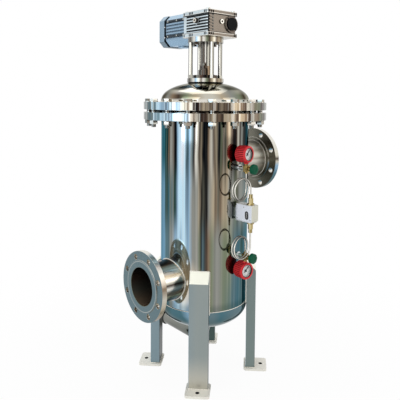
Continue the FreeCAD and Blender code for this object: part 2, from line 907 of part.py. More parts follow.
def worm_shaft():
    """The worm, its journals and the motor's rotor, turned from one bar."""
    core_r = worm_r - wheel_tooth_depth
    bar = along_worm(journal_r, gear_y0 + 1, fan_y1 - 2)
    parts = [bar, along_worm(rotor_r, rotor_y0, rotor_y1)]
    turns = int(worm_length / worm_pitch)
    for k in range(turns):
        y = (k - (turns - 1) / 2) * worm_pitch
        crest = worm_pitch / 4
        flank = worm_pitch / 2 - thread_gap
        start = V(worm_x, y - flank, worm_z)
        rise = Part.makeCone(core_r, worm_r, flank - crest / 2, start, V(0, 1, 0))
        top = along_worm(worm_r, y - crest / 2, y + crest / 2)
        fall = Part.makeCone(worm_r, core_r, flank - crest / 2,
                             V(worm_x, y + crest / 2, worm_z), V(0, 1, 0))
        parts += [rise, top, fall]
    return joined(parts)


def octagon(half, chamfer, y0, y1):
    """A square bar with cut corners along Y, on the worm's axis."""
    near = half - chamfer
    corners = [(half, near), (near, half), (-near, half), (-half, near),
               (-half, -near), (-near, -half), (near, -half), (half, -near)]
    wire = Part.makePolygon([V(worm_x + x, y0, worm_z + z) for x, z in corners + corners[:1]])
    return Part.Face(wire).extrude(V(0, y1 - y0, 0))


def motor_housing():
    """The motor's finned body with its rear shield."""
    body = octagon(motor_half, motor_chamfer, gear_y1, motor_y1)
    shield = octagon(shield_half, motor_chamfer, motor_y1, shield_y1)
    lugs = []
    for side in (-1, 1):
        z = sorted((worm_z, worm_z + side * motor_half))
        x = sorted((worm_x, worm_x + side * motor_half))
        lugs.append(block(worm_x - lug_width / 2, worm_x + lug_width / 2,
                          shield_y1 - lug_length, shield_y1, z[0], z[1]))
        lugs.append(block(x[0], x[1], shield_y1 - lug_length, shield_y1,
                          worm_z - lug_width / 2, worm_z + lug_width / 2))
    bottom = worm_z - motor_half
    pad = upright(motor_pad_r, bottom - motor_pad_t, bottom + 1, worm_x, motor_pad_y)
    whole = joined([body, shield, pad] + lugs)
    cuts = [along_worm(motor_bore_r, gear_y1 + motor_front_t, motor_y1 - motor_rear_wall),
            along_worm(journal_r + running_gap, gear_y1, shield_y1)]
    flat = 2 * (motor_half - motor_chamfer)
    pitch = flat / (motor_groove_count + 0.5)
    for k in range(motor_groove_count):
        z = worm_z + (k - (motor_groove_count - 1) / 2) * pitch
        for side in (-1, 1):
            x = sorted((worm_x + side * (motor_half - motor_groove_depth),
                        worm_x + side * (motor_half + 1)))
            cuts.append(block(x[0], x[1], gear_y1 + motor_front_t, motor_y1,
                              z - motor_groove_t / 2, z + motor_groove_t / 2))
    return whole.cut(cuts)


def fan_cowl():
    """The eight-sided cowl over the fan, with a slotted end."""
    outside = octagon(cowl_half, motor_chamfer, cowl_y0, cowl_y1)
    inside = octagon(motor_half, motor_chamfer, cowl_y0, cowl_y1 - cowl_wall)
    slot = block(worm_x + cowl_slot_r0, worm_x + cowl_slot_r1, cowl_y1 - 2 * cowl_wall,
                 cowl_y1, worm_z - cowl_slot_width / 2, worm_z + cowl_slot_width / 2)
    slots = [turned(slot, k * 360.0 / cowl_slot_count, V(worm_x, 0, worm_z), V(0, 1, 0))
             for k in range(cowl_slot_count)]
    return outside.cut([inside] + slots)


def cooling_fan():
    """The bladed fan on the motor shaft."""
    plate = along_worm(fan_r, fan_y0, fan_y0 + fan_plate_t)
    hub = along_worm(fan_hub_r, fan_y0, fan_y1)
    blade = block(worm_x, worm_x + fan_r - 1, fan_y0, fan_y1 - 2,
                  worm_z - fan_blade_t / 2, worm_z + fan_blade_t / 2)
    blades = [turned(blade, k * 360.0 / fan_blade_count, V(worm_x, 0, worm_z), V(0, 1, 0))
              for k in range(fan_blade_count)]
    return joined([plate, hub] + blades).cut(along_worm(journal_r, fan_y0, fan_y1))


def terminal_box():
    """The box for the motor's leads, on its far side."""
    x0 = worm_x + motor_half
    x1 = x0 + terminal_out
    body = block(x0, x1, terminal_y0, terminal_y1, worm_z - terminal_half_height,
                 worm_z + terminal_half_height)
    edges = [e for e in body.Edges if abs(e.tangentAt(e.FirstParameter).x) > 0.9]
    body = body.makeFillet(terminal_corner_r, edges)
    seam_x = x1 - terminal_lid_t
    low = worm_z - terminal_half_height
    high = worm_z + terminal_half_height
    groove = block(seam_x - terminal_groove, seam_x, terminal_y0, terminal_y1, low, high)
    core = block(x0, x1, terminal_y0 + terminal_groove, terminal_y1 - terminal_groove,
                 low + terminal_groove, high - terminal_groove)
    return body.cut(groove.cut(core))


def valve_body(z):
    """A needle valve: wall socket, tail, block, bonnet and two ports."""
    socket = rod(socket_r, V(0, 0, z), V(0, -socket_end, z))
    tail = rod(tail_r, V(0, 0, z), V(0, -block_r0 - 1, z))
    cube = block(-block_half_width, block_half_width, -block_r1, -block_r0,
                 z - block_half_height, z + block_half_height)
    bonnet = rod(bonnet_r, V(0, -block_r0 - 1, z), V(0, -bonnet_end, z))
    reach = block_half_height + port_t
    port = upright(port_r, z - reach, z + reach, 0, -stem_place_r)
    body = joined([socket, tail, cube, bonnet, port])
    bore = rod(spindle_r + running_gap, V(0, -spindle_start + end_room, z), V(0, -bonnet_end, z))
    return instrument(body.cut([upright(shell_r, z - reach, z + reach), bore]))


def valve_bodies():
    """The two needle valves on the vessel's wall."""
    return Part.makeCompound([valve_body(upper_valve_z), valve_body(lower_valve_z)])


def valve_knob(z):
    """A round knob with its spindle."""
    spindle = rod(spindle_r, V(0, -spindle_start, z), V(0, -knob_start, z))
    hub = rod(knob_hub_r, V(0, -knob_hub_start, z), V(0, -knob_start, z))
    disc = rod(knob_r, V(0, -knob_start, z), V(0, -knob_start - knob_t, z))
    flutes = []
    for k in range(flute_count):
        angle = (k + 0.5) * 2 * math.pi / flute_count
        x = flute_place_r * math.cos(angle)
        dz = flute_place_r * math.sin(angle)
        flutes.append(rod(flute_r, V(x, -knob_start, z + dz),
                          V(x, -knob_start - knob_t, z + dz)))
    return instrument(joined([spindle, hub, disc]).cut(flutes))


def upper_valve_knob():
    """The knob of the upper valve."""
    return valve_knob(upper_valve_z)


def lower_valve_knob():
    """The knob of the lower valve."""
    return valve_knob(lower_valve_z)


def gauge_places():
    """Height, valve height and turn about the stem for each gauge."""
    return ((upper_gauge_z, upper_valve_z, upper_gauge_turn),
            (lower_gauge_z, lower_valve_z, lower_gauge_turn))


def on_stem(shape, turn):
    """A gauge piece turned about its stem, then to the instruments' plane."""
    return instrument(turned(shape, turn, V(0, -stem_place_r, 0)))


def gauge_stem(z, valve_z):
    """The stem between a gauge's centre and its valve's port."""
    reach = block_half_height + port_t
    port_z = valve_z + math.copysign(reach, z - valve_z)
    z0, z1 = sorted((port_z, z))
    return upright(gauge_stem_r, z0, z1, 0, -stem_place_r)


def gauge_boots():
    """The soft protective boots round the gauges."""
    boots = []
    for z, valve_z, turn in gauge_places():
        boot = rod(gauge_boot_r, V(0, -gauge_back, z), V(0, -gauge_front, z))
        room = rod(gauge_case_r, V(0, -gauge_back - boot_back_t, z),
                   V(0, -gauge_front + boot_lip_t, z))
        mouth = rod(boot_lip_r, V(0, -gauge_back - boot_back_t, z), V(0, -gauge_front, z))
        boots.append(on_stem(boot.cut([room, mouth, gauge_stem(z, valve_z)]), turn))
    return Part.makeCompound(boots)


def gauge_cases():
    """The gauge cases with their stems."""
    front = gauge_front - boot_lip_t
    cases = []
    for z, valve_z, turn in gauge_places():
        case = rod(gauge_case_r, V(0, -gauge_back - boot_back_t, z), V(0, -front, z))
        recess = rod(dial_r, V(0, -front + dial_depth, z), V(0, -front, z))
        pin_hole = rod(pointer_pin_r + running_gap,
                       V(0, -front + dial_depth + pointer_pin_depth + end_room, z), V(0, -front, z))
        body = joined([case, gauge_stem(z, valve_z)]).cut([recess, pin_hole])
        cases.append(on_stem(body, turn))
    return Part.makeCompound(cases)


def gauge_lenses():
    """The clear windows of the gauges."""
    front = gauge_front - boot_lip_t
    lenses = []
    for z, valve_z, turn in gauge_places():
        lens = rod(dial_r, V(0, -front + lens_t, z), V(0, -front, z))
        lenses.append(on_stem(lens, turn))
    return Part.makeCompound(lenses)


def gauge_pointer(z, turn, rest):
    """A pointer with its pin, drawn at its rest reading."""
    face = gauge_front - boot_lip_t - dial_depth
    y1 = -face - pointer_lift
    y0 = y1 - pointer_t
    needle = block(-pointer_width / 2, pointer_width / 2, y0, y1,
                   z - pointer_tail, z + pointer_length)
    hub = rod(pointer_hub_r, V(0, y0, z), V(0, y1, z))
    pin = rod(pointer_pin_r, V(0, y1, z), V(0, -face + pointer_pin_depth, z))
    pointer = turned(joined([needle, hub, pin]), rest, V(0, 0, z), V(0, 1, 0))
    return on_stem(pointer, turn)


def upper_pointer():
    """The pointer of the upper gauge."""
    return gauge_pointer(upper_gauge_z, upper_gauge_turn, upper_pointer_rest)


def lower_pointer():
    """The pointer of the lower gauge."""
    return gauge_pointer(lower_gauge_z, lower_gauge_turn, lower_pointer_rest)


def window_plug(x0, x1):
    """The rounded slot on the switch's side, between two depths."""
    half = window_width / 2
    straight = window_height / 2 - half
    middle = block(x0, x1, -window_place_r - half, -window_place_r + half,
                   window_z - straight, window_z + straight)
    ends = [rod(half, V(x0, -window_place_r, window_z + s * straight),
                V(x1, -window_place_r, window_z + s * straight)) for s in (-1, 1)]
    return joined([middle] + ends)


def switch_box():
    """The differential-pressure switch's case."""
    case = block(switch_t0, switch_t1, -switch_r1, -switch_r0, switch_z0, switch_z1)
    edges = [e for e in case.Edges if abs(e.tangentAt(e.FirstParameter).z) > 0.9]
    case = case.makeFillet(switch_edge_r, edges)
    return instrument(case.cut(window_plug(switch_t0, switch_t0 + window_depth)))


def switch_window():
    """The dark scale window."""
    return instrument(window_plug(switch_t0 + window_set_back, switch_t0 + window_depth))


def switch_bracket():
    """The bent plate that carries the switch on the vessel's wall."""
    half = bracket_width / 2
    shelf = block(-half, half, -switch_r1 + bracket_t, -switch_r0 + bracket_t,
                  switch_z0 - bracket_t, switch_z0)
    back = block(-half, half, -switch_r0, -switch_r0 + bracket_t,
                 switch_z0 - bracket_t, switch_z1 - 2 * bracket_t)
    spacer = block(-half / 2, half / 2, -switch_r0 + 1, 0, switch_z0 + bracket_t,
                   switch_z1 - 4 * bracket_t)
    body = joined([shelf, back, spacer])
    body = body.cut([upright(shell_r, switch_z0 - bracket_t, switch_z1),
                     upright(fitting_nut_r, switch_z0 - bracket_t, switch_z0,
                             fitting_place_t, -fitting_place_r)])
    return instrument(body)


def switch_fittings():
    """The brass connections above and below the switch."""
    pieces = []
    place = (fitting_place_t, -fitting_place_r)
    for sense, z in ((1, switch_z1), (-1, switch_z0 - bracket_t)):
        stages = []
        reach = 0.0
        for height, make in ((fitting_flange_t, fitting_flange_r), (fitting_hex_t, None),
                             (fitting_nut_t, fitting_nut_r)):
            z0, z1 = sorted((z + sense * reach, z + sense * (reach + height)))
            if make is None:
                stages.append(hexagon(fitting_hex_across, z0, z1, *place))
            else:
                stages.append(upright(make, z0, z1, *place))
            reach += height
        if sense < 0:
            stages.append(upright(fitting_nut_r, z, switch_z0, *place))
        pieces.append(instrument(joined(stages)))
    return Part.makeCompound(pieces)


def half_turn(start, middle, end):
    """Half a turn of tube through three points."""
    edge = Part.Arc(start, middle, end).toShape()
    heading = edge.tangentAt(edge.FirstParameter)
    section = Part.Face(Part.Wire([Part.makeCircle(tube_r, start, heading)]))
    sweep = math.degrees(edge.LastParameter - edge.FirstParameter)
    return section.revolve(edge.Curve.Center, edge.Curve.Axis, sweep)


def capillary(z_top, r_top, z_coil, z_bottom, r_bottom):
    """A steel tube: a straight drop, a coil beside it and a straight drop."""
    steps = 4 * coil_turn_count

    def coil_point(k):
        angle = k * math.pi / 2
        x = coil_r * (math.cos(angle) - 1)
        z = z_coil - coil_r * math.sin(angle)
        return V(x, -(r_top + (r_bottom - r_top) * k / steps), z)

    runs = [rod(tube_r, V(0, -r_top, z_top), V(0, -r_top, z_coil)),
            rod(tube_r, V(0, -r_bottom, z_coil), V(0, -r_bottom, z_bottom))]
    for k in range(0, steps, 2):
        runs.append(half_turn(coil_point(k), coil_point(k + 1), coil_point(k + 2)))
    return instrument(Part.makeCompound(runs))


def upper_capillary():
    """The tube from the upper valve to the top of the switch."""
    port_z = upper_valve_z - block_half_height - port_t
    top_z = switch_z1 + fitting_flange_t + fitting_hex_t + fitting_nut_t
    return capillary(port_z, stem_place_r, upper_coil_z, top_z, fitting_place_r)


def lower_capillary():
    """The tube from the foot of the switch to the lower valve."""
    low_z = switch_z0 - bracket_t - fitting_flange_t - fitting_hex_t - fitting_nut_t
    port_z = lower_valve_z + block_half_height + port_t
    return capillary(low_z, fitting_place_r, lower_coil_z, port_z, stem_place_r)


def pieces():
    """Every node's name and shape."""
    made = {}
    for make in (vessel_shell, bottom_head, body_flange, cover_flange, cover_gasket,
                 cover_dome, cover_bolts, cover_nuts, drain_pipe, drain_collar, foot_plates,
                 screen_seat, filter_screen, screen_lid, shaft_bushes, drive_shaft,
                 brush_frame, cleaning_brushes, worm_wheel, lantern_base, lantern_pillars,
                 lantern_top, lantern_fasteners, packing_box, packing_rings, gland_follower,
                 gear_housing, upper_gear_cover, lower_gear_cover, gear_screws,
                 worm_end_cover, worm_bore_cap, oil_plugs, worm_shaft, motor_housing,
                 fan_cowl, cooling_fan, terminal_box, valve_bodies, upper_valve_knob,
                 lower_valve_knob, gauge_boots, gauge_cases, gauge_lenses, upper_pointer,
                 lower_pointer, switch_box, switch_window, switch_bracket, switch_fittings,
                 upper_capillary, lower_capillary):
        made[make.__name__] = make()
    made["outlet_nozzle"] = nozzle_pipe(outlet_z)
    made["outlet_flange"] = nozzle_flange(outlet_z)
    made["inlet_nozzle"] = turned(nozzle_pipe(inlet_z), 180)
    made["inlet_flange"] = turned(nozzle_flange(inlet_z), 180)
    for name, angle in (("leg_inlet_front", 225), ("leg_outlet_front", 315),
                        ("leg_outlet_rear", 45), ("leg_inlet_rear", 135)):
        made[name] = leg(angle)
    return made


os.makedirs("parts", exist_ok=True)
for name, shape in pieces().items():
    shape.exportStep(os.path.join("parts", name + ".step"))
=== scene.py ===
"""Looks for a self cleaning filter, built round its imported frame.

Metres, +Z up, origin on the floor on the vessel's axis. The inlet points -X, the outlet
+X, the drain and the motor +Y, and the instruments stand near -Y.
"""

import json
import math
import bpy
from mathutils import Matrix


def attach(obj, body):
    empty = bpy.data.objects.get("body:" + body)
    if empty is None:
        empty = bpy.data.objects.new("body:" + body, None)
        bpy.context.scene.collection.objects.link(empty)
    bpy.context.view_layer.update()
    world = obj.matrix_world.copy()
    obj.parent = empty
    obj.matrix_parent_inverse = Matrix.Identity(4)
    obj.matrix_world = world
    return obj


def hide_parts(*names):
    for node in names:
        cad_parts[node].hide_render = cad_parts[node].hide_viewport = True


bl_info = {
    "name": "Self cleaning filter",
    "version": (1, 0, 0),
    "blender": (4, 5, 0),
    "location": "View3D > Sidebar > Filter",
    "description": "Finishes and details of a polished, motor-driven self cleaning filter",
    "category": "Object",
}

import bmesh
import bpy
from mathutils import Matrix, Vector

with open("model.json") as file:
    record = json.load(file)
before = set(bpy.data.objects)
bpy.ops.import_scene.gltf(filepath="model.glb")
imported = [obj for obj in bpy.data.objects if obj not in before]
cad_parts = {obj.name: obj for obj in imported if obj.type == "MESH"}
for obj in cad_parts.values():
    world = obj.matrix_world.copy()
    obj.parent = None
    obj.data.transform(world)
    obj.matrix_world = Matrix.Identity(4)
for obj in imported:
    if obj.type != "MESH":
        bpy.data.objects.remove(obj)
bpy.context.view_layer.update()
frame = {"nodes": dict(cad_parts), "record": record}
RECORD = frame["record"]
BODY_OF = {node: body for body, nodes in RECORD["behaviour"]["bodies"].items() for node in nodes}

SHELL_R = 0.190
HEAD_SEAM_Z = 0.309
COVER_TOP_Z = 1.168
INLET_Z = 0.425
OUTLET_Z = 0.903
NOZZLE_R = 0.08415
HUB_BACK_X = 0.297
BOLT_CIRCLE_R = 0.242
BOLT_COUNT = 16
STEM_R = 0.242
FOOT_HOLE = 0.181
LEG_ANGLES = (45, 135, 225, 315)
GAUGE_PLACE_R = 0.206
KNOB_PLACE_R = 0.274
BOOT_R = 0.0335
RIB_TOP = 0.044
RIB_STEPS = 6
DIAL_PRINT_Z = 0.03945
DIAL_START = -135
DIAL_MARKS = 28
NEEDLE_WIDENING = 1.9
BEAD_OUT = 0.0005
HEAD_WALL = 0.005
HEAD_STEPS = 40
HEX_SIDES = 6
ROUNDED_ANGLE = math.radians(50)
# The painted reflections on the polished parts are set out round the axis from this turn.
VIEW_TURN = 130.2  # degrees that bring the photo's side to the middle of the streaks
INSTRUMENT_TURN = math.radians(4)
GAUGES = (("upper", 0.960, math.radians(6), 1), ("lower", 0.482, math.radians(-7), -1))
VALVES = (("upper", 0.902), ("lower", 0.540))


def tone(code):
    """A colour as scene values, from its usual six-figure code."""
    parts = [int(code[k:k + 2], 16) / 255 for k in (0, 2, 4)]
    return tuple(p / 12.92 if p <= 0.04045 else ((p + 0.055) / 1.055) ** 2.4 for p in parts)


# Most of these colours are painted reflections and painted shade on the metal: the streaks in the
# polish stand for the studio mirrored in it.
COLOURS = (
    ("soot", "0b0e12", "Darkest streak in the polish"),
    ("umber", "42342c", "Dark brown streak in the polish"),
    ("pine", "27433f", "Dark green streak in the polish"),
    ("teal", "4a6e79", "Teal streak in the polish"),
    ("haze", "8cadc6", "Mid blue streak in the polish"),
    ("sky", "bfe0f2", "Pale blue streak in the polish"),
    ("pearl", "e4e1d8", "Lightest streak in the polish"),
    ("bone", "c4c0b3", "Pale warm streak in the polish"),
    ("sand", "aea088", "Tan streak in the polish"),
    ("clay", "84725e", "Brown streak in the polish"),
    ("moss", "788069", "Olive streak in the polish"),
    ("ash", "8b8c86", "Grey streak in the polish"),
    ("slate", "61777e", "Blue-grey streak, and the inlet flange's faces"),
    ("olive", "5f5e53", "Dark olive streak, and the inside of the pipes"),
    ("boot", "d22a31", "Ribbed gauge boots"),
    ("knob", "0a5239", "Valve knobs"),
    ("brass", "b09a62", "Valves and fittings"),
    ("enamel", "e2e7f1", "Switch case"),
    ("ink", "0d0e10", "Black plastic and print"),
)


class FilterColours(bpy.types.PropertyGroup):
    """Colours of the finishes"""
    __annotations__ = {
        name: bpy.props.FloatVectorProperty(name=name.capitalize(), description=description,
                                            subtype="COLOR", size=3, min=0, max=1,
                                            default=tone(code))
        for name, code, description in COLOURS}


def length_property(name, default, description):
    """A length that the user can change."""
    return bpy.props.FloatProperty(name=name, description=description, default=default,
                                   min=0.0, subtype="DISTANCE", unit="LENGTH")


class FilterSizes(bpy.types.PropertyGroup):
    """Sizes of the details"""
    weld_r: length_property("Weld", 0.0026, "Radius of the weld beads")
    cast_edge: length_property("Cast edge", 0.0016, "Rounding of cast edges")
    plate_edge: length_property("Plate edge", 0.0010, "Rounding of machined edges")
    tube_edge: length_property("Tube edge", 0.0045, "Rounding of the legs' corners")
    rib_height: length_property("Rib", 0.0014, "Height of the boots' ribs")
    thread_pitch: length_property("Pitch", 0.0025, "Pitch of the cover bolts")
    rib_count: bpy.props.IntProperty(name="Ribs", default=28, min=8, max=90,
                                     description="Ribs round each gauge boot")


def sizes():
    """The details' sizes."""
    return bpy.context.scene.filter_sizes


def colour(name):
    """One of the finishes' colours by its name, or any other by its code, opaque."""
    shades = bpy.context.scene.filter_colours
    return (*(getattr(shades, name) if hasattr(shades, name) else tone(name)), 1.0)


class Num:
    """A number from the node tree. Arithmetic on it adds the Math nodes."""

    def __init__(self, finish, socket):
        self.finish = finish
        self.socket = socket

    def _do(self, operation, *values):
        return self.finish.maths(operation, *values)

    def __add__(self, other):
        return self._do("ADD", self, other)

    def __sub__(self, other):
        return self._do("SUBTRACT", self, other)

    def __rsub__(self, other):
        return self._do("SUBTRACT", other, self)

    def __mul__(self, other):
        return self._do("MULTIPLY", self, other)

    def __truediv__(self, other):
        return self._do("DIVIDE", self, other)

    def __pow__(self, other):
        return self._do("POWER", self, other)

    __radd__ = __add__
    __rmul__ = __mul__

    def __abs__(self):
        return self._do("ABSOLUTE", self)

    def above(self, low, high):
        """Rises from 0 to 1 between two values, smoothly."""
        made = self.finish.node("ShaderNodeMapRange", {"Value": self, "From Min": low,
                                                       "From Max": high},
                                interpolation_type="SMOOTHSTEP")
        return Num(self.finish, made.outputs[0])

    def within(self, low, full, still, end):
        """Rises from 0 to 1 between the first two values and falls between the last two."""
        return self.above(low, full) * (1 - self.above(still, end))


class Finish:
    """A material and the nodes in it."""

    def __init__(self, name):
        self.material = bpy.data.materials.new(name)
        self.material.use_nodes = True
        self.tree = self.material.node_tree
        self.shader = self.tree.nodes["Principled BSDF"]

    def node(self, kind, inputs=None, stops=None, **settings):
        """A node with its settings made first, then its inputs."""
        made = self.tree.nodes.new(kind)
        for key, value in settings.items():
            setattr(made, key, value)
        if stops:
            elements = made.color_ramp.elements
            for _ in range(len(stops) - 2):
                elements.new(0.5)
            for element, (place, value) in zip(elements, stops):
                element.position = place
                element.color = value
        for key, value in (inputs or {}).items():
            self.feed(made.inputs[key], value)
        return made

    def feed(self, socket, value):
        """Links or sets one socket. Text stands for a colour."""
        value = colour(value) if isinstance(value, str) else getattr(value, "socket", value)
        if isinstance(value, bpy.types.NodeSocket):
            self.tree.links.new(value, socket)
        else:
            socket.default_value = value

    def maths(self, operation, *values):
        """One Math node."""
        made = self.node("ShaderNodeMath", dict(enumerate(values)), operation=operation)
        return Num(self, made.outputs[0])

    def reach(self, first, second):
        """The root of two squares' sum."""
        return self.maths("SQRT", first ** 2 + second ** 2)

    def from_nozzle(self, y, z):
        """The distance from the nearer nozzle's axis."""
        return self.reach(self.maths("MINIMUM", abs(z - INLET_Z), abs(z - OUTLET_Z)), y)

    def mix(self, factor, first, second):
        """Two colours mixed."""
        made = self.node("ShaderNodeMix", {0: factor, 6: first, 7: second}, data_type="RGBA")
        return made.outputs[2]

    def place(self, output="Object"):
        """Object coordinates, or another output of that node."""
        return self.node("ShaderNodeTexCoord").outputs[output]

    def parts(self, output="Object"):
        """The three numbers of the object coordinates, or of another output of that node."""
        made = self.node("ShaderNodeSeparateXYZ", {0: self.place(output)})
        return [Num(self, made.outputs[k]) for k in range(3)]

    def noise(self, scale, detail=2.0, stretch=(1, 1, 1)):
        """Noise from 0 to 1, stretched along the axes."""
        where = self.node("ShaderNodeMapping", {"Vector": self.place(), "Scale": stretch})
        made = self.node("ShaderNodeTexNoise", {"Vector": where.outputs[0], "Scale": scale,
                                                "Detail": detail})
        return Num(self, made.outputs[0])

    def ramp(self, value, stops):
        """A colour from a number. One ramp holds 32 stops, so a longer list is halved."""
        if len(stops) > 30:
            half = len(stops) // 2
            cut = stops[half][0]
            return self.mix(value.above(cut - 0.0002, cut), self.ramp(value, stops[:half + 1]),
                            self.ramp(value, stops[half:]))
        return self.node("ShaderNodeValToRGB", {0: value}, stops=stops).outputs[0]

    def bands(self, value, text):
        """Colours along a number, from text that gives each one's place and name."""
        words = text.split()
        return self.ramp(value, [(float(place), colour(name))
                                 for place, name in zip(words[::2], words[1::2])])

    def across(self, output="Object"):
        """0 to 1 across the side with the instruments, and back again behind; the painted
        reflections are set out along it.
        """
        x, y, z = self.parts(output)
        angle = self.maths("ARCTAN2", y, x) * (180 / math.pi)
        turn = self.maths("WRAP", angle + VIEW_TURN, 180.0, -180.0)
        return self.maths("PINGPONG", (turn + 90) / 180, 1.0)

    def facing(self, left, front, up, right, rear, down):
        """A colour by the way that the surface faces: painted light, each side the tone that a
        studio's walls would give it, as they tint bare metal.
        """
        left, front, up, right, rear, down = map(colour, (left, front, up, right, rear, down))
        total = None
        for part, (low, high) in zip(self.parts("Normal"),
                                     ((left, right), (front, rear), (down, up))):
            for sign, shade in ((-1, low), (1, high)):
                weight = self.maths("MAXIMUM", part * sign, 0.0) ** 2
                scaled = self.node("ShaderNodeVectorMath", {0: shade[:3], "Scale": weight},
                                   operation="SCALE").outputs[0]
                if total is None:
                    total = scaled
                else:
                    total = self.node("ShaderNodeVectorMath", {0: total, 1: scaled},
                                      operation="ADD").outputs[0]
        return total

    def set(self, base, rough, metal=0.0, bump=None, **values):
        """Feeds the shader. A bump is a height, a distance and a strength."""
        values.update(Base_Color=base, Roughness=rough, Metallic=metal)
        if bump:
            inputs = dict(zip(("Height", "Distance", "Strength"), bump))
            values["Normal"] = self.node("ShaderNodeBump", inputs).outputs[0]
        for key, value in values.items():
            self.feed(self.shader.inputs[key.replace("_", " ")], value)
        return self.material


def polished_shell():
    """Mirror polish with painted reflections: long upright streaks that soften down the vessel, a
    painted reflection of the inlet flange, and painted shade towards the foot.
    """
    finish = Finish("polished_shell")
    x, y, z = finish.parts()
    sway = finish.noise(5, 1.0, (1, 1, 0.7)) - 0.5
    wave = finish.noise(16, 1.0, (1, 1, 0.35)) - 0.5
    fine = finish.noise(85, stretch=(1, 1, 0.008))
    spot = finish.across()
    # The bands are painted reflections of the studio, set high, middle and low on the shell.
    high = finish.bands(spot + sway * 0.016 + wave * 0.022, "0.150 teal 0.165 pine 0.190 pine "
                        "0.203 soot 0.214 clay 0.224 umber 0.236 ash 0.252 ash 0.262 umber "
                        "0.278 soot 0.290 soot 0.299 haze 0.316 sky 0.345 enamel 0.368 sky "
                        "0.380 teal 0.396 haze 0.410 slate 0.430 umber 0.441 pearl 0.452 bone "
                        "0.463 umber 0.478 sand 0.490 soot 0.518 soot 0.528 clay 0.544 bone "
                        "0.560 umber 0.577 sand 0.590 soot 0.602 soot 0.614 moss 0.628 umber "
                        "0.644 olive 0.660 clay 0.676 sand 0.692 umber 0.720 soot 0.742 umber "
                        "0.758 bone 0.780 umber 0.800 ash 0.825 umber")
    middle = finish.bands(spot + wave * 0.014, "0.153 haze 0.172 pine 0.200 pine 0.218 teal "
                          "0.234 pine 0.252 slate 0.268 pine 0.286 pine 0.300 haze 0.316 sky "
                          "0.365 sky 0.380 haze 0.398 haze 0.416 ash 0.450 ash 0.466 sand "
                          "0.478 soot 0.492 olive 0.505 ink 0.518 ink 0.530 ash 0.562 sand "
                          "0.579 clay 0.596 olive 0.612 clay 0.644 sand 0.662 sand 0.680 ash "
                          "0.712 ash 0.735 moss 0.755 olive 0.775 ash 0.820 ash")
    low = finish.bands(spot + wave * 0.012, "0.153 haze 0.180 teal 0.215 slate 0.250 ash "
                       "0.284 haze 0.316 sky 0.332 haze 0.349 sky 0.366 sky 0.384 haze "
                       "0.398 haze 0.420 ash 0.455 ash 0.470 moss 0.480 soot 0.492 slate "
                       "0.507 soot 0.518 umber 0.532 clay 0.552 moss 0.580 ash 0.605 ash "
                       "0.640 moss 0.690 moss 0.730 slate 0.780 teal 0.815 pine 0.850 slate")
    base = finish.mix(z.above(0.58, 0.74), low, middle)
    base = finish.mix(z.above(0.80, 0.96), base, high)
    # A painted teal reflection low on one side of the shell.
    side = spot.above(0.60, 0.72) * (1 - z.above(0.32, 0.56))
    base = finish.mix(side * 0.6, base, "teal")
    base = finish.mix(fine.above(0.52, 0.66) * (0.15 + z.above(0.5, 0.95) * 0.45), base, "soot")
    base = finish.mix((1 - fine.above(0.32, 0.44)) * 0.22, base, "bone")
    # A painted reflection of the inlet flange, warm and pale, on the shell round the inlet.
    ring = finish.reach(y, z - INLET_Z)
    near = (1 - ring.above(0.090, 0.160)) * (1 - x.above(-0.06, -0.02))
    near = near * (1 - y.above(-0.085, -0.050))
    base = finish.mix(near * 0.75, base, "e6d6bd")
    # Painted shade, darker green towards the shell's foot.
    foot = 1 - z.above(0.320, 0.350)
    base = finish.mix(foot * 0.35, base, "pine")
    return finish.set(base, metal=1.0, rough=0.05 + fine * 0.05,
                      Specular_Tint=(0.35, 0.50, 0.56, 1), bump=(fine, 0.0002, 0.15))


def polished_head(name, stops, under_shade, low, high):
    """Mirror polish on a dished head or a bend, with painted reflections in bands and painted
    shade darker towards its lower edge.
    """
    finish = Finish(name)
    z = finish.parts()[2]
    ripple = finish.noise(9, stretch=(1, 1, 2))
    grain = finish.noise(60, 3.0)
    # Painted reflections in bands round it.
    ring = finish.bands(finish.across() + (ripple - 0.5) * 0.12, stops)
    # Painted shade, darker towards the lower edge.
    shade = finish.mix((1 - z.above(low, high)) * 0.8, ring, under_shade)
    return finish.set(shade, metal=1.0, rough=0.08 + grain * 0.07, bump=(grain, 0.0002, 0.15))


def polished_dome():
    """Mirror polish on the cover's dome with painted reflections: a pale foot that is a painted
    highlight, a dark shoulder and a pale crown, and painted dark arcs at its sides.
    """
    finish = Finish("polished_dome")
    z = finish.parts()[2]
    ripple = finish.noise(8, stretch=(1, 1, 2)) - 0.5
    grain = finish.noise(60, 3.0)
    spot = finish.across() + ripple * 0.06
    # Painted reflections: a dark shoulder and a pale crown.
    shoulder = finish.bands(spot, "0.05 soot 0.12 umber 0.18 ash 0.25 clay 0.31 umber 0.37 moss "
                            "0.44 sand 0.50 bone 0.56 bone 0.62 sand 0.70 ash 0.78 moss "
                            "0.84 umber 0.90 bone 0.96 umber")
    crown = finish.bands(spot, "0.10 ash 0.20 bone 0.30 pearl 0.42 pearl 0.50 bone 0.60 bone "
                         "0.70 ash 0.80 bone 0.92 ash")
    level = z + ripple * 0.012
    shade = finish.mix(level.above(1.196, 1.222), shoulder, crown)
    # Painted dark arcs at the dome's sides.
    beside = (1 - spot.above(0.30, 0.40)) + spot.above(0.62, 0.72)
    arc = level.within(1.214, 1.222, 1.232, 1.238)
    shade = finish.mix(arc * beside * 0.8, shade, "soot")
    # A painted highlight round the dome's foot.
    shade = finish.mix((1 - level.above(1.174, 1.186)) * 0.8, shade, "pearl")
    shade = finish.mix((1 - z.above(1.1695, 1.1730)) * 0.8, shade, "umber")
    return finish.set(shade, metal=1.0, rough=0.06 + grain * 0.05,
                      Specular_Tint=(0.5, 0.5, 0.46, 1))


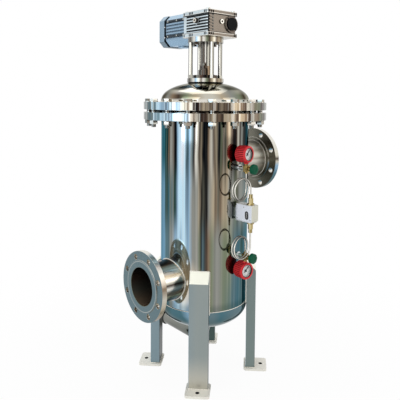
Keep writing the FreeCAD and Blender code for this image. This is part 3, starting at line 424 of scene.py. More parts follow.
def turned_rim():
    """Bright turned rims with painted reflections in short upright streaks, a painted highlight
    on top and painted shade below.
    """
    finish = Finish("turned_rim")
    streak = finish.noise(34, stretch=(1, 1, 0.01))
    level = finish.parts()[2]
    fine = finish.noise(120, 1.0, (1, 1, 0.01))
    spot = finish.across() + (streak - 0.5) * 0.09 + level.above(1.125, 1.130) * 0.03
    # The bands are painted reflections of the studio round the rims.
    rim = finish.bands(spot, "0.04 soot 0.12 pine 0.17 teal 0.205 pine 0.225 sky 0.265 teal "
                       "0.285 sky 0.320 haze 0.350 sky 0.375 pearl 0.395 haze 0.415 bone "
                       "0.440 clay 0.458 bone 0.480 soot 0.505 umber 0.530 sand 0.555 umber "
                       "0.572 clay 0.590 soot 0.615 sand 0.645 umber 0.670 sand 0.700 clay "
                       "0.730 umber 0.760 bone 0.790 clay 0.830 moss 0.870 umber 0.910 ash "
                       "0.960 moss")
    rim = finish.mix(fine.above(0.55, 0.62) * 0.55, rim, "umber")
    rim = finish.mix((1 - fine.above(0.36, 0.44)) * 0.4, rim, "pearl")
    up = finish.parts("Normal")[2]
    # A painted highlight on upward faces and painted shade on downward ones.
    rim = finish.mix(up.above(0.5, 0.8), rim, "pearl")
    base = finish.mix((up * -1).above(0.5, 0.8), rim, "soot")
    lay = finish.noise(240, stretch=(0.05, 0.05, 1))
    return finish.set(base, metal=1.0, rough=0.12 + lay * 0.10, bump=(lay, 0.0002, 0.25))


def turned(name, stops, up="pearl", down="umber", rough=0.14, lay=(0.06, 0.06, 1), shaded_gap=()):
    """Turned or ground metal, with painted reflections set out by the way that its sides face, a
    painted highlight on upward faces, painted shade on downward ones, and painted shade in a
    given band of height between parts.
    """
    finish = Finish(name)
    grain = finish.noise(400, stretch=lay)
    # Painted reflections by the way each side faces.
    base = finish.bands(finish.across("Normal") + (grain - 0.5) * 0.012, stops)
    rise = finish.parts("Normal")[2]
    # A painted highlight on upward faces and painted shade on downward ones.
    base = finish.mix(rise.above(0.45, 0.8), base, up)
    base = finish.mix((rise * -1).above(0.45, 0.8), base, down)
    # Painted shade in the given band between parts.
    if shaded_gap:
        level = finish.parts()[2]
        within = level.within(shaded_gap[0], shaded_gap[0] + 0.0005, shaded_gap[1] - 0.0005, shaded_gap[1])
        base = finish.mix(within * 0.75, base, "ink")
    return finish.set(base, metal=1.0, rough=rough + grain * 0.08)


def lantern_steel():
    """The lantern's turned discs, grey with painted bright and dark reflections."""
    return turned("lantern_steel", "0.03 soot 0.10 ash 0.16 umber 0.22 ash 0.28 pearl 0.33 haze "
                  "0.38 bone 0.43 umber 0.47 pearl 0.52 moss 0.57 umber 0.61 sand 0.66 bone "
                  "0.71 umber 0.76 sand 0.82 clay 0.88 bone 0.96 soot", "bone", "soot", 0.14)


def shaft_steel(name="shaft_steel"):
    """Ground bar with painted reflections across it: dark, then one bright line, then tan."""
    return turned(name, "0.04 soot 0.14 umber 0.28 ash 0.36 umber 0.43 soot 0.47 pearl "
                  "0.53 pearl 0.57 umber 0.66 ash 0.78 bone 0.86 umber 0.97 soot",
                  lay=(1, 1, 0.02))


def pillar_steel():
    """Pale ground bar with painted reflections and painted dark edges."""
    return turned("pillar_steel", "0.04 soot 0.16 umber 0.26 ash 0.36 pearl 0.50 pearl 0.58 bone "
                  "0.70 ash 0.82 umber 0.96 soot", lay=(1, 1, 0.02))


def fastener_steel(name="fastener_steel", shaded_gap=()):
    """Plain stainless, with a painted reflection on every flat, each a tone of its own."""
    return turned(name, "0.05 umber 0.16 teal 0.22 ash 0.30 pearl 0.38 sky 0.46 pearl 0.52 ash "
                  "0.56 clay 0.64 pearl 0.72 bone 0.80 clay 0.90 sand 0.96 umber",
                  "pearl", "soot", 0.2, shaded_gap=shaded_gap)


def flange_steel(name, face, back, rim, dull=0.0):
    """Turned flange steel with painted reflections: one tone on its face towards -X, another on
    its back, and tones round its rim, with a painted highlight ring near the hub and painted
    shade in the bore.
    """
    finish = Finish(name)
    x, y, z = finish.parts()
    turn = finish.parts("Normal")
    radius = finish.from_nozzle(y, z)
    groove = finish.noise(900, 1.0, (0.0, 1, 1))
    cloud = finish.noise(9)
    # Painted reflections round the rim, and painted tones on the face and on the back.
    edge = finish.bands(turn[2] * 0.5 + 0.5 + (cloud - 0.5) * 0.1, rim)
    plate = finish.mix(turn[0].above(-0.2, 0.2), face, back)
    plate = finish.mix(cloud.above(0.45, 0.75) * 0.08, plate, "ash")
    # A painted highlight ring near the hub.
    lip_highlight = radius.within(0.0990, 0.1000, 0.1015, 0.1025)
    plate = finish.mix(lip_highlight * 0.45, plate, "pearl")
    flat = abs(turn[0]).above(0.7, 0.9)
    base = finish.mix(flat, edge, plate)
    # Painted shade in the bore.
    inside = 1 - radius.above(0.0775, 0.0785)
    base = finish.mix(inside, base, finish.mix(turn[2] * 0.5 + 0.5, "olive", "moss"))
    behind = turn[0].above(0.4, 0.8) * (1 - inside)
    return finish.set(base, metal=1 - inside * 0.6 - behind * dull, rough=0.24 + groove * 0.08)


def pipe_steel():
    """Satin pipe of the nozzles with painted reflections: tan and grey above and painted shade
    below, a painted highlight that makes the outlet pipe paler, and brown inside with painted
    shade in the bore, darkest far in.
    """
    finish = Finish("pipe_steel")
    x, y, z = finish.parts()
    radius = finish.from_nozzle(y, z)
    streak = finish.noise(60, stretch=(0.02, 1, 1))
    up = finish.parts("Normal")[2]
    # Painted reflections by the way the surface faces, with painted shade below.
    base = finish.bands(up * 0.5 + 0.5 + (streak - 0.5) * 0.12, "0.05 soot 0.16 umber 0.26 moss "
                        "0.34 clay 0.42 ash 0.48 pearl 0.54 umber 0.60 bone 0.68 pearl 0.76 sand "
                        "0.84 pearl 0.90 sand 0.96 umber")
    # A painted highlight that makes the outlet pipe paler.
    base = finish.mix(x.above(0.1, 0.2) * 0.5, base, "bone")
    # Painted shade in the bore, darkest far in.
    inside = 1 - radius.above(0.0800, 0.0810)
    bore = finish.bands(up * 0.5 + 0.5, "0.15 soot 0.45 umber 0.75 olive 0.95 clay")
    deep_shade = 1 - abs(x).above(0.24, 0.36)
    base = finish.mix(inside, base, finish.mix(deep_shade * 0.7, bore, "soot"))
    rough = 0.15 + streak * 0.10 + x.above(0.1, 0.2) * 0.22
    return finish.set(base, metal=1 - inside * 0.6, rough=rough, bump=(streak, 0.0002, 0.15))


def satin_tube():
    """Ground stainless of the legs with painted light: a painted blue reflection on the left
    faces, paler towards the feet of the near legs, painted shade on the side faces and on the
    rear legs, and a painted highlight on top.
    """
    finish = Finish("satin_tube")
    x, y, z = finish.parts()
    grain = finish.noise(160, 3.0, (1, 1, 0.03))
    cloud = finish.noise(5, stretch=(1, 1, 0.4))
    side = x * 0.759 - y * 0.651
    # Painted light that changes across the legs from side to side.
    front = finish.bands(side * 2.2 + 0.5, "0.05 82959d 0.30 82959d 0.45 929a98 0.60 929a98 "
                         "0.80 7a8784")
    # Painted light, paler towards the feet of the near legs.
    near = 1 - (x + y).above(-0.25, -0.20)
    base = finish.mix((1 - z.above(0.02, 0.16)) * near * 0.85, front, "c4c0b3")
    # Painted shade on the side faces and a painted blue reflection on the left faces.
    turn = finish.across("Normal")
    base = finish.mix(turn.above(0.62, 0.72), base, finish.mix(near, "1f2726", "4a565b"))
    base = finish.mix(turn.above(0.28, 0.38), "86a0ad", base)
    up = finish.parts("Normal")[2]
    # A painted highlight on top.
    base = finish.mix(up.above(0.4, 0.6), base, "fffff0")
    base = finish.mix(cloud.above(0.4, 0.8) * 0.15, base, "teal")
    # Painted shade on the rear legs.
    rear = (x + y).above(0.15, 0.2)
    base = finish.mix(rear * 0.85, base, "pine")
    return finish.set(base, metal=0.75, rough=0.30 + grain * 0.14, bump=(grain, 0.0002, 0.2))


def foot_steel():
    """Pale blasted plate, with painted shade in its anchor hole."""
    finish = Finish("foot_steel")
    speck = finish.noise(260, 3.0)
    x, y, z = finish.parts()
    base = finish.mix(speck, "ece8dc", "faf8f0")
    off = finish.reach(abs(x) - FOOT_HOLE, abs(y) - FOOT_HOLE)
    # Painted shade in the anchor hole.
    base = finish.mix(1 - off.above(0.0082, 0.0088), base, "ink")
    return finish.set(base, metal=0.2, rough=0.45, bump=(speck, 0.0002, 0.3))


def cowl_paint():
    """Painted sheet of the fan cowl with a soft orange-peel skin, and painted light that gives
    each side a tone of its own, palest on top and darkest below.
    """
    finish = Finish("cowl_paint")
    skin = finish.noise(320, 3.0)
    cloud = finish.noise(18)
    # Painted light: each side a tone of its own, palest on top and darkest below.
    base = finish.facing("8fa8bb", "8195a3", "b4c8d6", "788692", "6f7f8c", "55646b")
    base = finish.mix(cloud.above(0.35, 0.8) * 0.15, base, "teal")
    return finish.set(base, metal=0.3, rough=0.34 + skin * 0.12, bump=(skin, 0.0003, 0.05))


def gear_cast():
    """The gear unit's castings, with painted light by the way each side faces, a painted shadow,
    painted shade black between the fins, dark seams along the covers, and painted highlights
    along the covers' edges.
    """
    finish = Finish("gear_cast")
    skin = finish.noise(320, 3.0)
    cloud = finish.noise(14)
    # Painted light: each side a tone of its own.
    base = finish.facing("cfdde4", "7f766c", "c6d6de", "8f8678", "9aa6ae", "5c6266")
    x, y, z = finish.parts()
    base = finish.mix(cloud.above(0.35, 0.75) * 0.2, base, "umber")
    shadow = (1 - x.above(-0.062, -0.020)) * (1 - y.above(-0.092, -0.086))
    base = finish.mix(shadow * 0.35, base, "umber")
    # Painted shade, black between the fins.
    fins = z.within(1.4610, 1.4620, 1.5325, 1.5335)
    deep_shade = x.within(-0.0635, -0.0620, -0.0540, -0.0530)
    base = finish.mix(fins * deep_shade * (1 - y.above(0.048, 0.052)) * 0.95, base, "ink")
    away = abs(z - 1.49725)
    seam = away.within(0.0352, 0.0358, 0.0382, 0.0388)
    base = finish.mix(seam * 0.95, base, "ink")
    # Painted highlights along the covers' edges.
    lip_highlight = away.within(0.0388, 0.0392, 0.0415, 0.0420)
    edge = away.above(0.0515, 0.0520)
    base = finish.mix((lip_highlight + edge) * 0.6, base, "pearl")
    return finish.set(base, metal=0.9, rough=0.26 + skin * 0.04, bump=(skin, 0.0003, 0.04))


def motor_cast():
    """The motor's blue casting, with painted light by the way each side faces, and painted shade
    between its fins, beside their field and at its end next to the cowl.
    """
    finish = Finish("motor_cast")
    skin = finish.noise(320, 3.0)
    # Painted light: each side a tone of its own.
    base = finish.facing("8fabc2", "7c8b97", "b4d0e4", "74818c", "788fa3", "93bad8")
    x, y, z = finish.parts()
    # Painted shade between the fins and in the bands beside their field.
    field = z.within(1.4785, 1.4790, 1.5335, 1.5340)
    beside = z.within(1.4650, 1.4655, 1.5470, 1.5475) - field
    deep_shade = x.within(-0.0065, -0.0050, 0.0010, 0.0020)
    base = finish.mix(field * deep_shade * 0.5, base, "ink")
    base = finish.mix(beside * (1 - x.above(0.01, 0.02)) * 0.9, base, "ink")
    # Painted shade at the end next to the cowl.
    end = y.above(0.2885, 0.2895)
    base = finish.mix(end * 0.9, base, "ink")
    return finish.set(base, metal=0.6, rough=0.32 + skin * 0.04, bump=(skin, 0.0003, 0.04))


def plug_steel():
    """Breather and level plug: a painted highlight in a ring round a dark middle."""
    finish = Finish("plug_steel")
    x, y, z = finish.parts()
    side = finish.reach(y + 0.016, z - 1.510)
    front = finish.reach(x - 0.010, z - 1.506)
    near = finish.maths("MINIMUM", side, front + y.above(-0.0900, -0.0895))
    speck = finish.noise(200)
    # A painted highlight ring round a dark middle.
    base = finish.bands(near * 60, "0.0 soot 0.26 umber 0.32 pearl 0.52 pearl 0.58 ash "
                        "0.74 umber")
    return finish.set(base, metal=1.0, rough=0.2 + speck * 0.1)


def plastic(name, shade, rough=0.4, gloss=0.3, skin=400):
    """Moulded plastic or rubber with a fine skin."""
    finish = Finish(name)
    grain = finish.noise(skin)
    dust = finish.noise(35, 3.0)
    base = colour(shade)
    paler = tuple(min(1.0, part * 1.25 + 0.004) for part in base[:3]) + (1,)
    return finish.set(finish.mix(dust.above(0.35, 0.8) * 0.5, base, paler),
                      rough=rough + grain * 0.12, Specular_IOR_Level=gloss,
                      bump=(grain, 0.0002, 0.2))


def valve_metal():
    """Chromed next to the vessel, with painted reflections a tone for each way it faces, and
    plain brass out to the knob.
    """
    finish = Finish("valve_metal")
    x, y, z = finish.parts()
    reach = finish.reach(x, y)
    stain = finish.noise(80, 3.0)
    metal = finish.mix(stain.above(0.35, 0.75), "brass", "6e5c34")
    # Painted reflections on the chrome, a tone for each way it faces.
    chrome = finish.facing("dfe6ea", "c4c8c6", "f4f6f6", "8a8886", "a0a6a8", "50555a")
    return finish.set(finish.mix(reach.above(0.231, 0.236), chrome, metal), metal=1.0,
                      rough=0.18 + stain * 0.1)


def brass_metal(name="fitting_brass"):
    """Plain turned brass with painted reflections, brighter to the left, a painted highlight on
    top and painted shade below.
    """
    finish = Finish(name)
    stain = finish.noise(90, 3.0)
    # Painted reflections, brighter to the left.
    base = finish.bands(finish.across("Normal") + (stain - 0.5) * 0.1, "0.05 3f3520 0.22 8a7846 "
                        "0.36 e3d9b4 0.46 brass 0.58 6e6038 0.72 bba974 0.92 4a3f26")
    up = finish.parts("Normal")[2]
    # A painted highlight on top and painted shade below.
    base = finish.mix(up.above(0.4, 0.8), base, "cfc498")
    base = finish.mix((up * -1).above(0.4, 0.8), base, "3c3320")
    return finish.set(base, metal=1.0, rough=0.2 + stain * 0.12)


def tube_steel():
    """Drawn tube with a painted bright middle, painted dark sides and a painted highlight on top.
    """
    finish = Finish("tube_steel")
    up = finish.parts("Normal")[2]
    side = finish.across("Normal") * 2 - 1
    slope = finish.reach(side, up)
    # Painted bright middle, painted dark sides and a painted highlight on top.
    base = finish.bands(slope, "0.10 pearl 0.38 pearl 0.54 ash 0.68 umber 0.82 soot")
    base = finish.mix(up.above(0.2, 0.6) * 0.25, base, "pearl")
    draw = finish.noise(200)
    return finish.set(base, metal=1.0, rough=0.16 + draw * 0.1)


def enamel_paint():
    """White enamel with painted light by the way each side faces: cool on the marked side, cream
    on the front and darker below.
    """
    finish = Finish("enamel_paint")
    peel = finish.noise(240)
    # Painted light: each side a tone of its own.
    base = finish.facing("enamel", "d9d8c8", "f0f0ee", "c9c8ba", "dcdfe4", "80827c")
    return finish.set(base, rough=0.3 + peel * 0.08, bump=(peel, 0.0002, 0.15))


def clear_window():
    """Thin clear glass."""
    finish = Finish("clear_window")
    smear = finish.noise(40)
    finish.material.surface_render_method = "BLENDED"
    return finish.set((0.9, 0.95, 0.95, 1), rough=0.02 + smear * 0.05, Alpha=0.03,
                      Specular_IOR_Level=0.2)


def weld_metal():
    """Ground weld with a rippled bead."""
    finish = Finish("weld_metal")
    ripple = finish.noise(420)
    base = finish.mix(ripple.above(0.2, 0.5), "clay", "pearl")
    return finish.set(base, metal=1.0, rough=0.3 + ripple * 0.15, bump=(ripple, 0.0006, 0.5))


def dial_white():
    """Printed dial card."""
    finish = Finish("dial_white")
    card = finish.noise(500)
    base = finish.mix(card, "f6f6f4", "eceded")
    return finish.set(base, rough=0.5, Specular_IOR_Level=0.2)


def node_copy(node):
    """A merged copy of a CAD node's mesh, with its flat faces made whole."""
    bm = bmesh.new()
    bm.from_mesh(frame["nodes"][node].data)
    bmesh.ops.remove_doubles(bm, verts=bm.verts, dist=2e-6)
    bmesh.ops.dissolve_limit(bm, angle_limit=math.radians(0.4), verts=bm.verts,
                             edges=bm.edges)
    return bm


def soften(bm, sharp):
    """Smooth shading, broken where the faces meet at more than an angle."""
    for face in bm.faces:
        face.smooth = True
    for edge in bm.edges:
        edge.smooth = edge.calc_face_angle(0.0) < math.radians(sharp)


def link(name, data):
    """A new object in the scene."""
    made = bpy.data.objects.new(name, data)
    bpy.context.scene.collection.objects.link(made)
    return made


def curve_mesh(curve):
    """The mesh of a curve or of a line of text."""
    holder = link(curve.name, curve)
    bpy.context.view_layer.update()
    mesh = bpy.data.meshes.new_from_object(holder.evaluated_get(
        bpy.context.evaluated_depsgraph_get()))
    bpy.data.objects.remove(holder)
    return mesh


def add_piece(name, bm, material, body="vessel", nodes=(), sharp=30.0):
    """Makes a piece from a bmesh, puts it on its body and hides the nodes that it stands for."""
    soften(bm, sharp)
    mesh = bpy.data.meshes.new(name)
    bm.to_mesh(mesh)
    bm.free()
    piece = link(name, mesh)
    for each in material if isinstance(material, tuple) else (material,):
        mesh.materials.append(each)
    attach(piece, body)
    if nodes:
        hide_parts(*nodes)
    return piece


def stand_in(node, bm, material, sharp=30.0):
    """A piece that stands for a CAD node, on its body."""
    return add_piece(node + "_finish", bm, material, BODY_OF[node], [node], sharp)


def dress(node, material, edge=0.0):
    """A smooth copy of a CAD node with its edges rounded, standing for it."""
    piece = stand_in(node, node_copy(node), material)
    if edge:
        rounding = piece.modifiers.new("rounding", "BEVEL")
        rounding.width = edge
        rounding.segments = 2
        rounding.limit_method = "ANGLE"
        rounding.angle_limit = ROUNDED_ANGLE
        rounding.harden_normals = True
    return piece


def lathe(bm, profile, steps=96, closed=True, matrix=None):
    """Turns (radius, height) points round Z into a closed skin and returns its vertices."""
    verts = [bm.verts.new((r, 0, z)) for r, z in profile]
    pairs = list(zip(verts, verts[1:]))
    if closed:
        pairs.append((verts[-1], verts[0]))
    edges = [bm.edges.new(pair) for pair in pairs]
    before = set(bm.verts) - set(verts)
    bmesh.ops.spin(bm, geom=verts + edges, cent=(0, 0, 0), axis=(0, 0, 1),
                   dvec=(0, 0, 0), angle=2 * math.pi, steps=steps, use_merge=True,
                   use_normal_flip=False, use_duplicate=False)
    made = [v for v in bm.verts if v not in before]
    bmesh.ops.remove_doubles(bm, verts=made, dist=1e-7)
    made = [v for v in bm.verts if v not in before]
    faces = list({f for v in made for f in v.link_faces})
    bmesh.ops.recalc_face_normals(bm, faces=faces)
    if matrix is not None:
        bmesh.ops.transform(bm, matrix=matrix, verts=made)
    return made


def outward(r, z, turn=0.0):
    """A frame whose Z points out of the vessel on the instruments' plane."""
    lay = Matrix(((1, 0, 0, 0), (0, 0, -1, -r), (0, 1, 0, z), (0, 0, 0, 1)))
    about_stem = (Matrix.Translation((0, -STEM_R, 0)) @ Matrix.Rotation(turn, 4, "Z")
                  @ Matrix.Translation((0, STEM_R, 0)))
    return Matrix.Rotation(INSTRUMENT_TURN, 4, "Z") @ about_stem @ lay


def prism(bm, across, z0, z1, chamfer, matrix=None, turn=0.0):
    """A hexagonal prism with both ends chamfered."""
    radius = across / 2 / math.cos(math.pi / HEX_SIDES)
    made = bmesh.ops.create_cone(bm, cap_ends=True, segments=HEX_SIDES, radius1=radius,
                                 radius2=radius, depth=z1 - z0)["verts"]
    bmesh.ops.transform(bm, matrix=Matrix.Translation((0, 0, (z0 + z1) / 2))
                        @ Matrix.Rotation(turn + math.pi / HEX_SIDES, 4, "Z"), verts=made)
    rims = [e for e in {e for v in made for e in v.link_edges}
            if abs(e.verts[0].co.z - e.verts[1].co.z) < 1e-6]
    bevelled = bmesh.ops.bevel(bm, geom=rims, offset=chamfer, offset_type="OFFSET",
                               affect="EDGES", segments=2, profile=0.5, material=-1)
    made = list({v for f in bevelled["faces"] for v in f.verts} | {v for v in made if v.is_valid})
    if matrix is not None:
        bmesh.ops.transform(bm, matrix=matrix, verts=made)
    return made


def bar(bm, size, place, round_off=0.0, matrix=None):
    """A rounded block."""
    made = bmesh.ops.create_cube(bm, size=1.0)["verts"]
    bmesh.ops.scale(bm, vec=size, verts=made)
    bmesh.ops.translate(bm, vec=place, verts=made)
    if round_off:
        edges = list({e for v in made for e in v.link_edges})
        result = bmesh.ops.bevel(bm, geom=edges, offset=round_off, offset_type="OFFSET",
                                 affect="EDGES", segments=2, profile=0.5, material=-1)
        made = list({v for f in result["faces"] for v in f.verts})
    if matrix is not None:
        bmesh.ops.transform(bm, matrix=matrix, verts=made)
    return made


def weld(name, points, radius, material, closed=True):
    """A weld bead along points, as a fixed mesh."""
    curve = bpy.data.curves.new(name, "CURVE")
    curve.dimensions = "3D"
    curve.bevel_depth = radius
    curve.bevel_resolution = 2
    curve.use_fill_caps = True
    line = curve.splines.new("POLY")
    line.points.add(len(points) - 1)
    for point, place in zip(line.points, points):
        point.co = (*place, 1)
    line.use_cyclic_u = closed
    bm = bmesh.new()
    bm.from_mesh(curve_mesh(curve))
    bmesh.ops.remove_doubles(bm, verts=bm.verts, dist=1e-6)
    bmesh.ops.recalc_face_normals(bm, faces=bm.faces)
    add_piece(name, bm, material, sharp=80)


def ring(r, count):
    """Points round a circle."""
    angles = [2 * math.pi * k / count for k in range(count)]
    return [(r * math.cos(angle), r * math.sin(angle)) for angle in angles]


def circle(r, z):
    """Points round the vessel's axis."""
    return [(x, y, z) for x, y in ring(r, 144)]


def on_shell(y):
    """How far out a bead on the shell lies at a place beside its middle plane."""
    return math.sqrt((SHELL_R + BEAD_OUT) ** 2 - y ** 2)


def head_profile(z, sense, straight, rise, hole_r):
    """Outer and inner meridian of a dished head, open at the crown."""
    def arc(r, height):
        start = math.acos(hole_r / r)
        return [(r * math.cos(start * k / HEAD_STEPS),
                 z + sense * (straight + height * math.sin(start * k / HEAD_STEPS)))
                for k in range(HEAD_STEPS + 1)]

    inner_r = SHELL_R - HEAD_WALL
    return [(SHELL_R, z), *arc(SHELL_R, rise), *arc(inner_r, rise - HEAD_WALL)[::-1],
            (inner_r, z)]


class PieceOperator:
    """What every operator here shares: it builds its pieces and reports that it has."""
    bl_options = {"REGISTER", "UNDO"}

    def execute(self, context):
        self.build()
        return {"FINISHED"}


class FILTER_OT_stage(PieceOperator, bpy.types.Operator):
    """Adds the floor, the light and the camera"""
    bl_idname = "filter.stage"
    bl_label = "Stage"

    def build(self):
        scene = bpy.context.scene
        scene.view_settings.view_transform = "Standard"
        self.world(scene)
        self.floor()
        self.lamps()
        camera = bpy.data.cameras.new("camera")
        camera.lens = 46.106
        camera.sensor_fit = "VERTICAL"
        camera.sensor_height = 36.0
        camera.sensor_width = 25.5  # stands the other views off far enough for the lens shift
        camera.shift_x = -0.0212
        camera.shift_y = -0.1740
        camera.clip_start = 0.05
        holder = link("camera", camera)
        holder.matrix_world = (Matrix.Translation((-1.4404, -1.7044, 1.1808))
                               @ Matrix.Rotation(math.radians(-40.601), 4, "Z")
                               @ Matrix.Rotation(math.radians(86.505), 4, "X")
                               @ Matrix.Rotation(math.radians(0.516), 4, "Z"))
        scene.camera = holder

    def world(self, scene):
        world = bpy.data.worlds.new("studio")
        scene.world = world
        world.use_nodes = True
        tree = world.node_tree
        background = tree.nodes["Background"]
        path = tree.nodes.new("ShaderNodeLightPath")
        seen = tree.nodes.new("ShaderNodeMath")
        seen.operation = "MAXIMUM"
        tree.links.new(path.outputs["Is Camera Ray"], seen.inputs[0])
        tree.links.new(path.outputs["Is Glossy Ray"], seen.inputs[1])
        through = tree.nodes.new("ShaderNodeMath")
        through.operation = "MAXIMUM"
        tree.links.new(seen.outputs[0], through.inputs[0])
        tree.links.new(path.outputs["Is Transmission Ray"], through.inputs[1])
        level = tree.nodes.new("ShaderNodeMapRange")
        level.inputs["To Min"].default_value = 0.68
        level.inputs["To Max"].default_value = 1.0
        tree.links.new(through.outputs[0], level.inputs["Value"])
        background.inputs["Color"].default_value = (1, 1, 1, 1)
        tree.links.new(level.outputs[0], background.inputs["Strength"])

    def floor(self):
        finish = Finish("floor_white")
        x, y, z = finish.parts()
        far = finish.reach(x, y).above(0.5, 1.6)
        path = finish.node("ShaderNodeLightPath")
        seen = finish.maths("MAXIMUM", Num(finish, path.outputs["Is Camera Ray"]),
                            Num(finish, path.outputs["Is Glossy Ray"]))
        card = finish.node("ShaderNodeEmission", {"Color": (1, 1, 1, 1), "Strength": 1.0})
        finish.set((0.86, 0.86, 0.86, 1), rough=0.9, Specular_IOR_Level=0.0)
        both = finish.node("ShaderNodeMixShader", {0: seen * (0.95 + far * 0.05),
                                                   1: finish.shader.outputs[0],
                                                   2: card.outputs[0]})
        output = finish.tree.nodes["Material Output"]
        finish.tree.links.new(both.outputs[0], output.inputs["Surface"])
        bm = bmesh.new()
        bmesh.ops.create_circle(bm, cap_ends=True, segments=96, radius=9.0)
        mesh = bpy.data.meshes.new("floor")
        bm.to_mesh(mesh)
        bm.free()
        mesh.materials.append(finish.material)
        floor = link("floor", mesh)

    def lamps(self):
        target = Vector((0, 0, 0.85))
        for name, place, size, power, shade in (
                ("cool_wall", (-3.4, -0.6, 2.1), 3.0, 34, (0.92, 0.97, 1.0)),
                ("warm_wall", (1.6, -3.3, 1.9), 2.4, 18, (1.0, 0.95, 0.88)),
                ("top_card", (0.4, 0.6, 4.0), 2.8, 24, (1.0, 1.0, 1.0))):
            lamp = bpy.data.lights.new(name, "AREA")
            lamp.shape = "SQUARE"
            lamp.size = size
            lamp.energy = power
            lamp.color = shade
            holder = link(name, lamp)
            aim = (target - Vector(place)).to_track_quat("-Z", "Y")
            holder.matrix_world = Matrix.Translation(place) @ aim.to_matrix().to_4x4()


class FILTER_OT_vessel(PieceOperator, bpy.types.Operator):
    """Dresses the shell and both dished heads"""
    bl_idname = "filter.vessel"
    bl_label = "Vessel"

    def build(self):
        shell = dress("vessel_shell", polished_shell())
        self.true_normals(shell.data)
        self.head("cover_dome", polished_dome(), COVER_TOP_Z, 1, 0.009, 0.078, 0.030)
        bowl = polished_head("polished_bowl", "0.06 pine 0.15 pine 0.26 teal 0.35 teal "
                             "0.42 haze 0.49 slate 0.56 slate 0.62 teal 0.74 slate 0.86 teal "
                             "0.94 pine", "pine", 0.222, 0.300)
        self.head("bottom_head", bowl, HEAD_SEAM_Z, -1, 0.018, 0.095, 0.02715)

    def head(self, node, material, *profile):
        """Turns a dished head that is finer than the CAD's."""
        bm = bmesh.new()
        lathe(bm, head_profile(*profile), 160)
        stand_in(node, bm, material)

    def true_normals(self, mesh):
        """The shell's own curve in place of its facets."""
        normals = []
        for face in mesh.polygons:
            for index in face.loop_indices:
                co = mesh.vertices[mesh.loops[index].vertex_index].co
                radial = Vector((co.x, co.y, 0)).normalized()
                along = face.normal.dot(radial)
                normals.append(radial * math.copysign(1, along) if abs(along) > 0.9
                               and abs(face.normal.z) < 0.05 else face.normal.copy())
        mesh.normals_split_custom_set(normals)


class FILTER_OT_flanges(PieceOperator, bpy.types.Operator):
    """Dresses the cover joint, the nozzles and the drain"""
    bl_idname = "filter.flanges"
    bl_label = "Flanges"

    def build(self):
        rim = turned_rim()
        edge = sizes().plate_edge
        dress("body_flange", rim, edge)
        dress("cover_flange", rim, edge)
        dress("cover_gasket", plastic("gasket_sheet", "ink", 0.6, 0.05))
        # The face, back and rim colours of both flanges are painted reflections.
        inlet = flange_steel("inlet_steel", "slate", "d9c3a4", "0.05 umber 0.25 sand 0.45 bone "
                             "0.60 clay 0.80 pearl 0.95 pearl", 0.75)
        dress("inlet_flange", inlet, edge)
        outlet = flange_steel("outlet_steel", "77756a", "slate", "0.05 pine 0.30 teal 0.44 haze "
                              "0.50 bone 0.54 umber 0.58 bone 0.80 pearl 0.95 pearl")
        dress("outlet_flange", outlet, edge)
        pipe = pipe_steel()
        dress("inlet_nozzle", pipe)
        dress("outlet_nozzle", pipe)
        drain = polished_head("polished_drain", "0.05 pine 0.25 ash 0.40 umber 0.55 moss "
                              "0.70 ash 0.85 pine 0.95 moss", "soot", 0.08, 0.14)
        dress("drain_pipe", drain)
        dress("drain_collar", drain, edge)


class FILTER_OT_welds(PieceOperator, bpy.types.Operator):
    """Adds the weld beads"""
    bl_idname = "filter.welds"
    bl_label = "Welds"

    def build(self):
        metal = weld_metal()
        bead = sizes().weld_r
        weld("bottom_seam_weld", circle(SHELL_R, HEAD_SEAM_Z), bead * 0.7, metal)
        weld("dome_weld", circle(SHELL_R + 0.0015, 1.1690), bead, metal)
        weld("shell_top_weld", circle(SHELL_R + 0.001, 1.0922), bead, metal)
        for side, z, name in ((-1, INLET_Z, "inlet"), (1, OUTLET_Z, "outlet")):
            saddle = [(side * on_shell(y), y, z + up) for y, up in ring(NOZZLE_R + 0.0012, 112)]
            weld(name + "_saddle_weld", saddle, bead * 1.1, metal)
            hub = [(side * (HUB_BACK_X - BEAD_OUT), y, z + up)
                   for y, up in ring(NOZZLE_R + 0.0008, 96)]
            weld(name + "_hub_weld", hub, bead * 0.9, metal)
        for angle in LEG_ANGLES:
            turn = Matrix.Rotation(math.radians(angle), 4, "Z")
            for side in (-1, 1):
                points = [turn @ Vector((0.1875, side * 0.0395, z))
                          for z in (0.300, 0.36, 0.42, 0.4805)]
                weld("leg_weld_%d_%s" % (angle, "a" if side < 0 else "b"), points, bead * 1.2,
                     metal, False)
            top = [turn @ Vector((on_shell(0.013 * k), 0.013 * k, 0.4815))
                   for k in range(-3, 4)]
            weld("leg_top_weld_%d" % angle, top, bead * 0.9, metal, False)


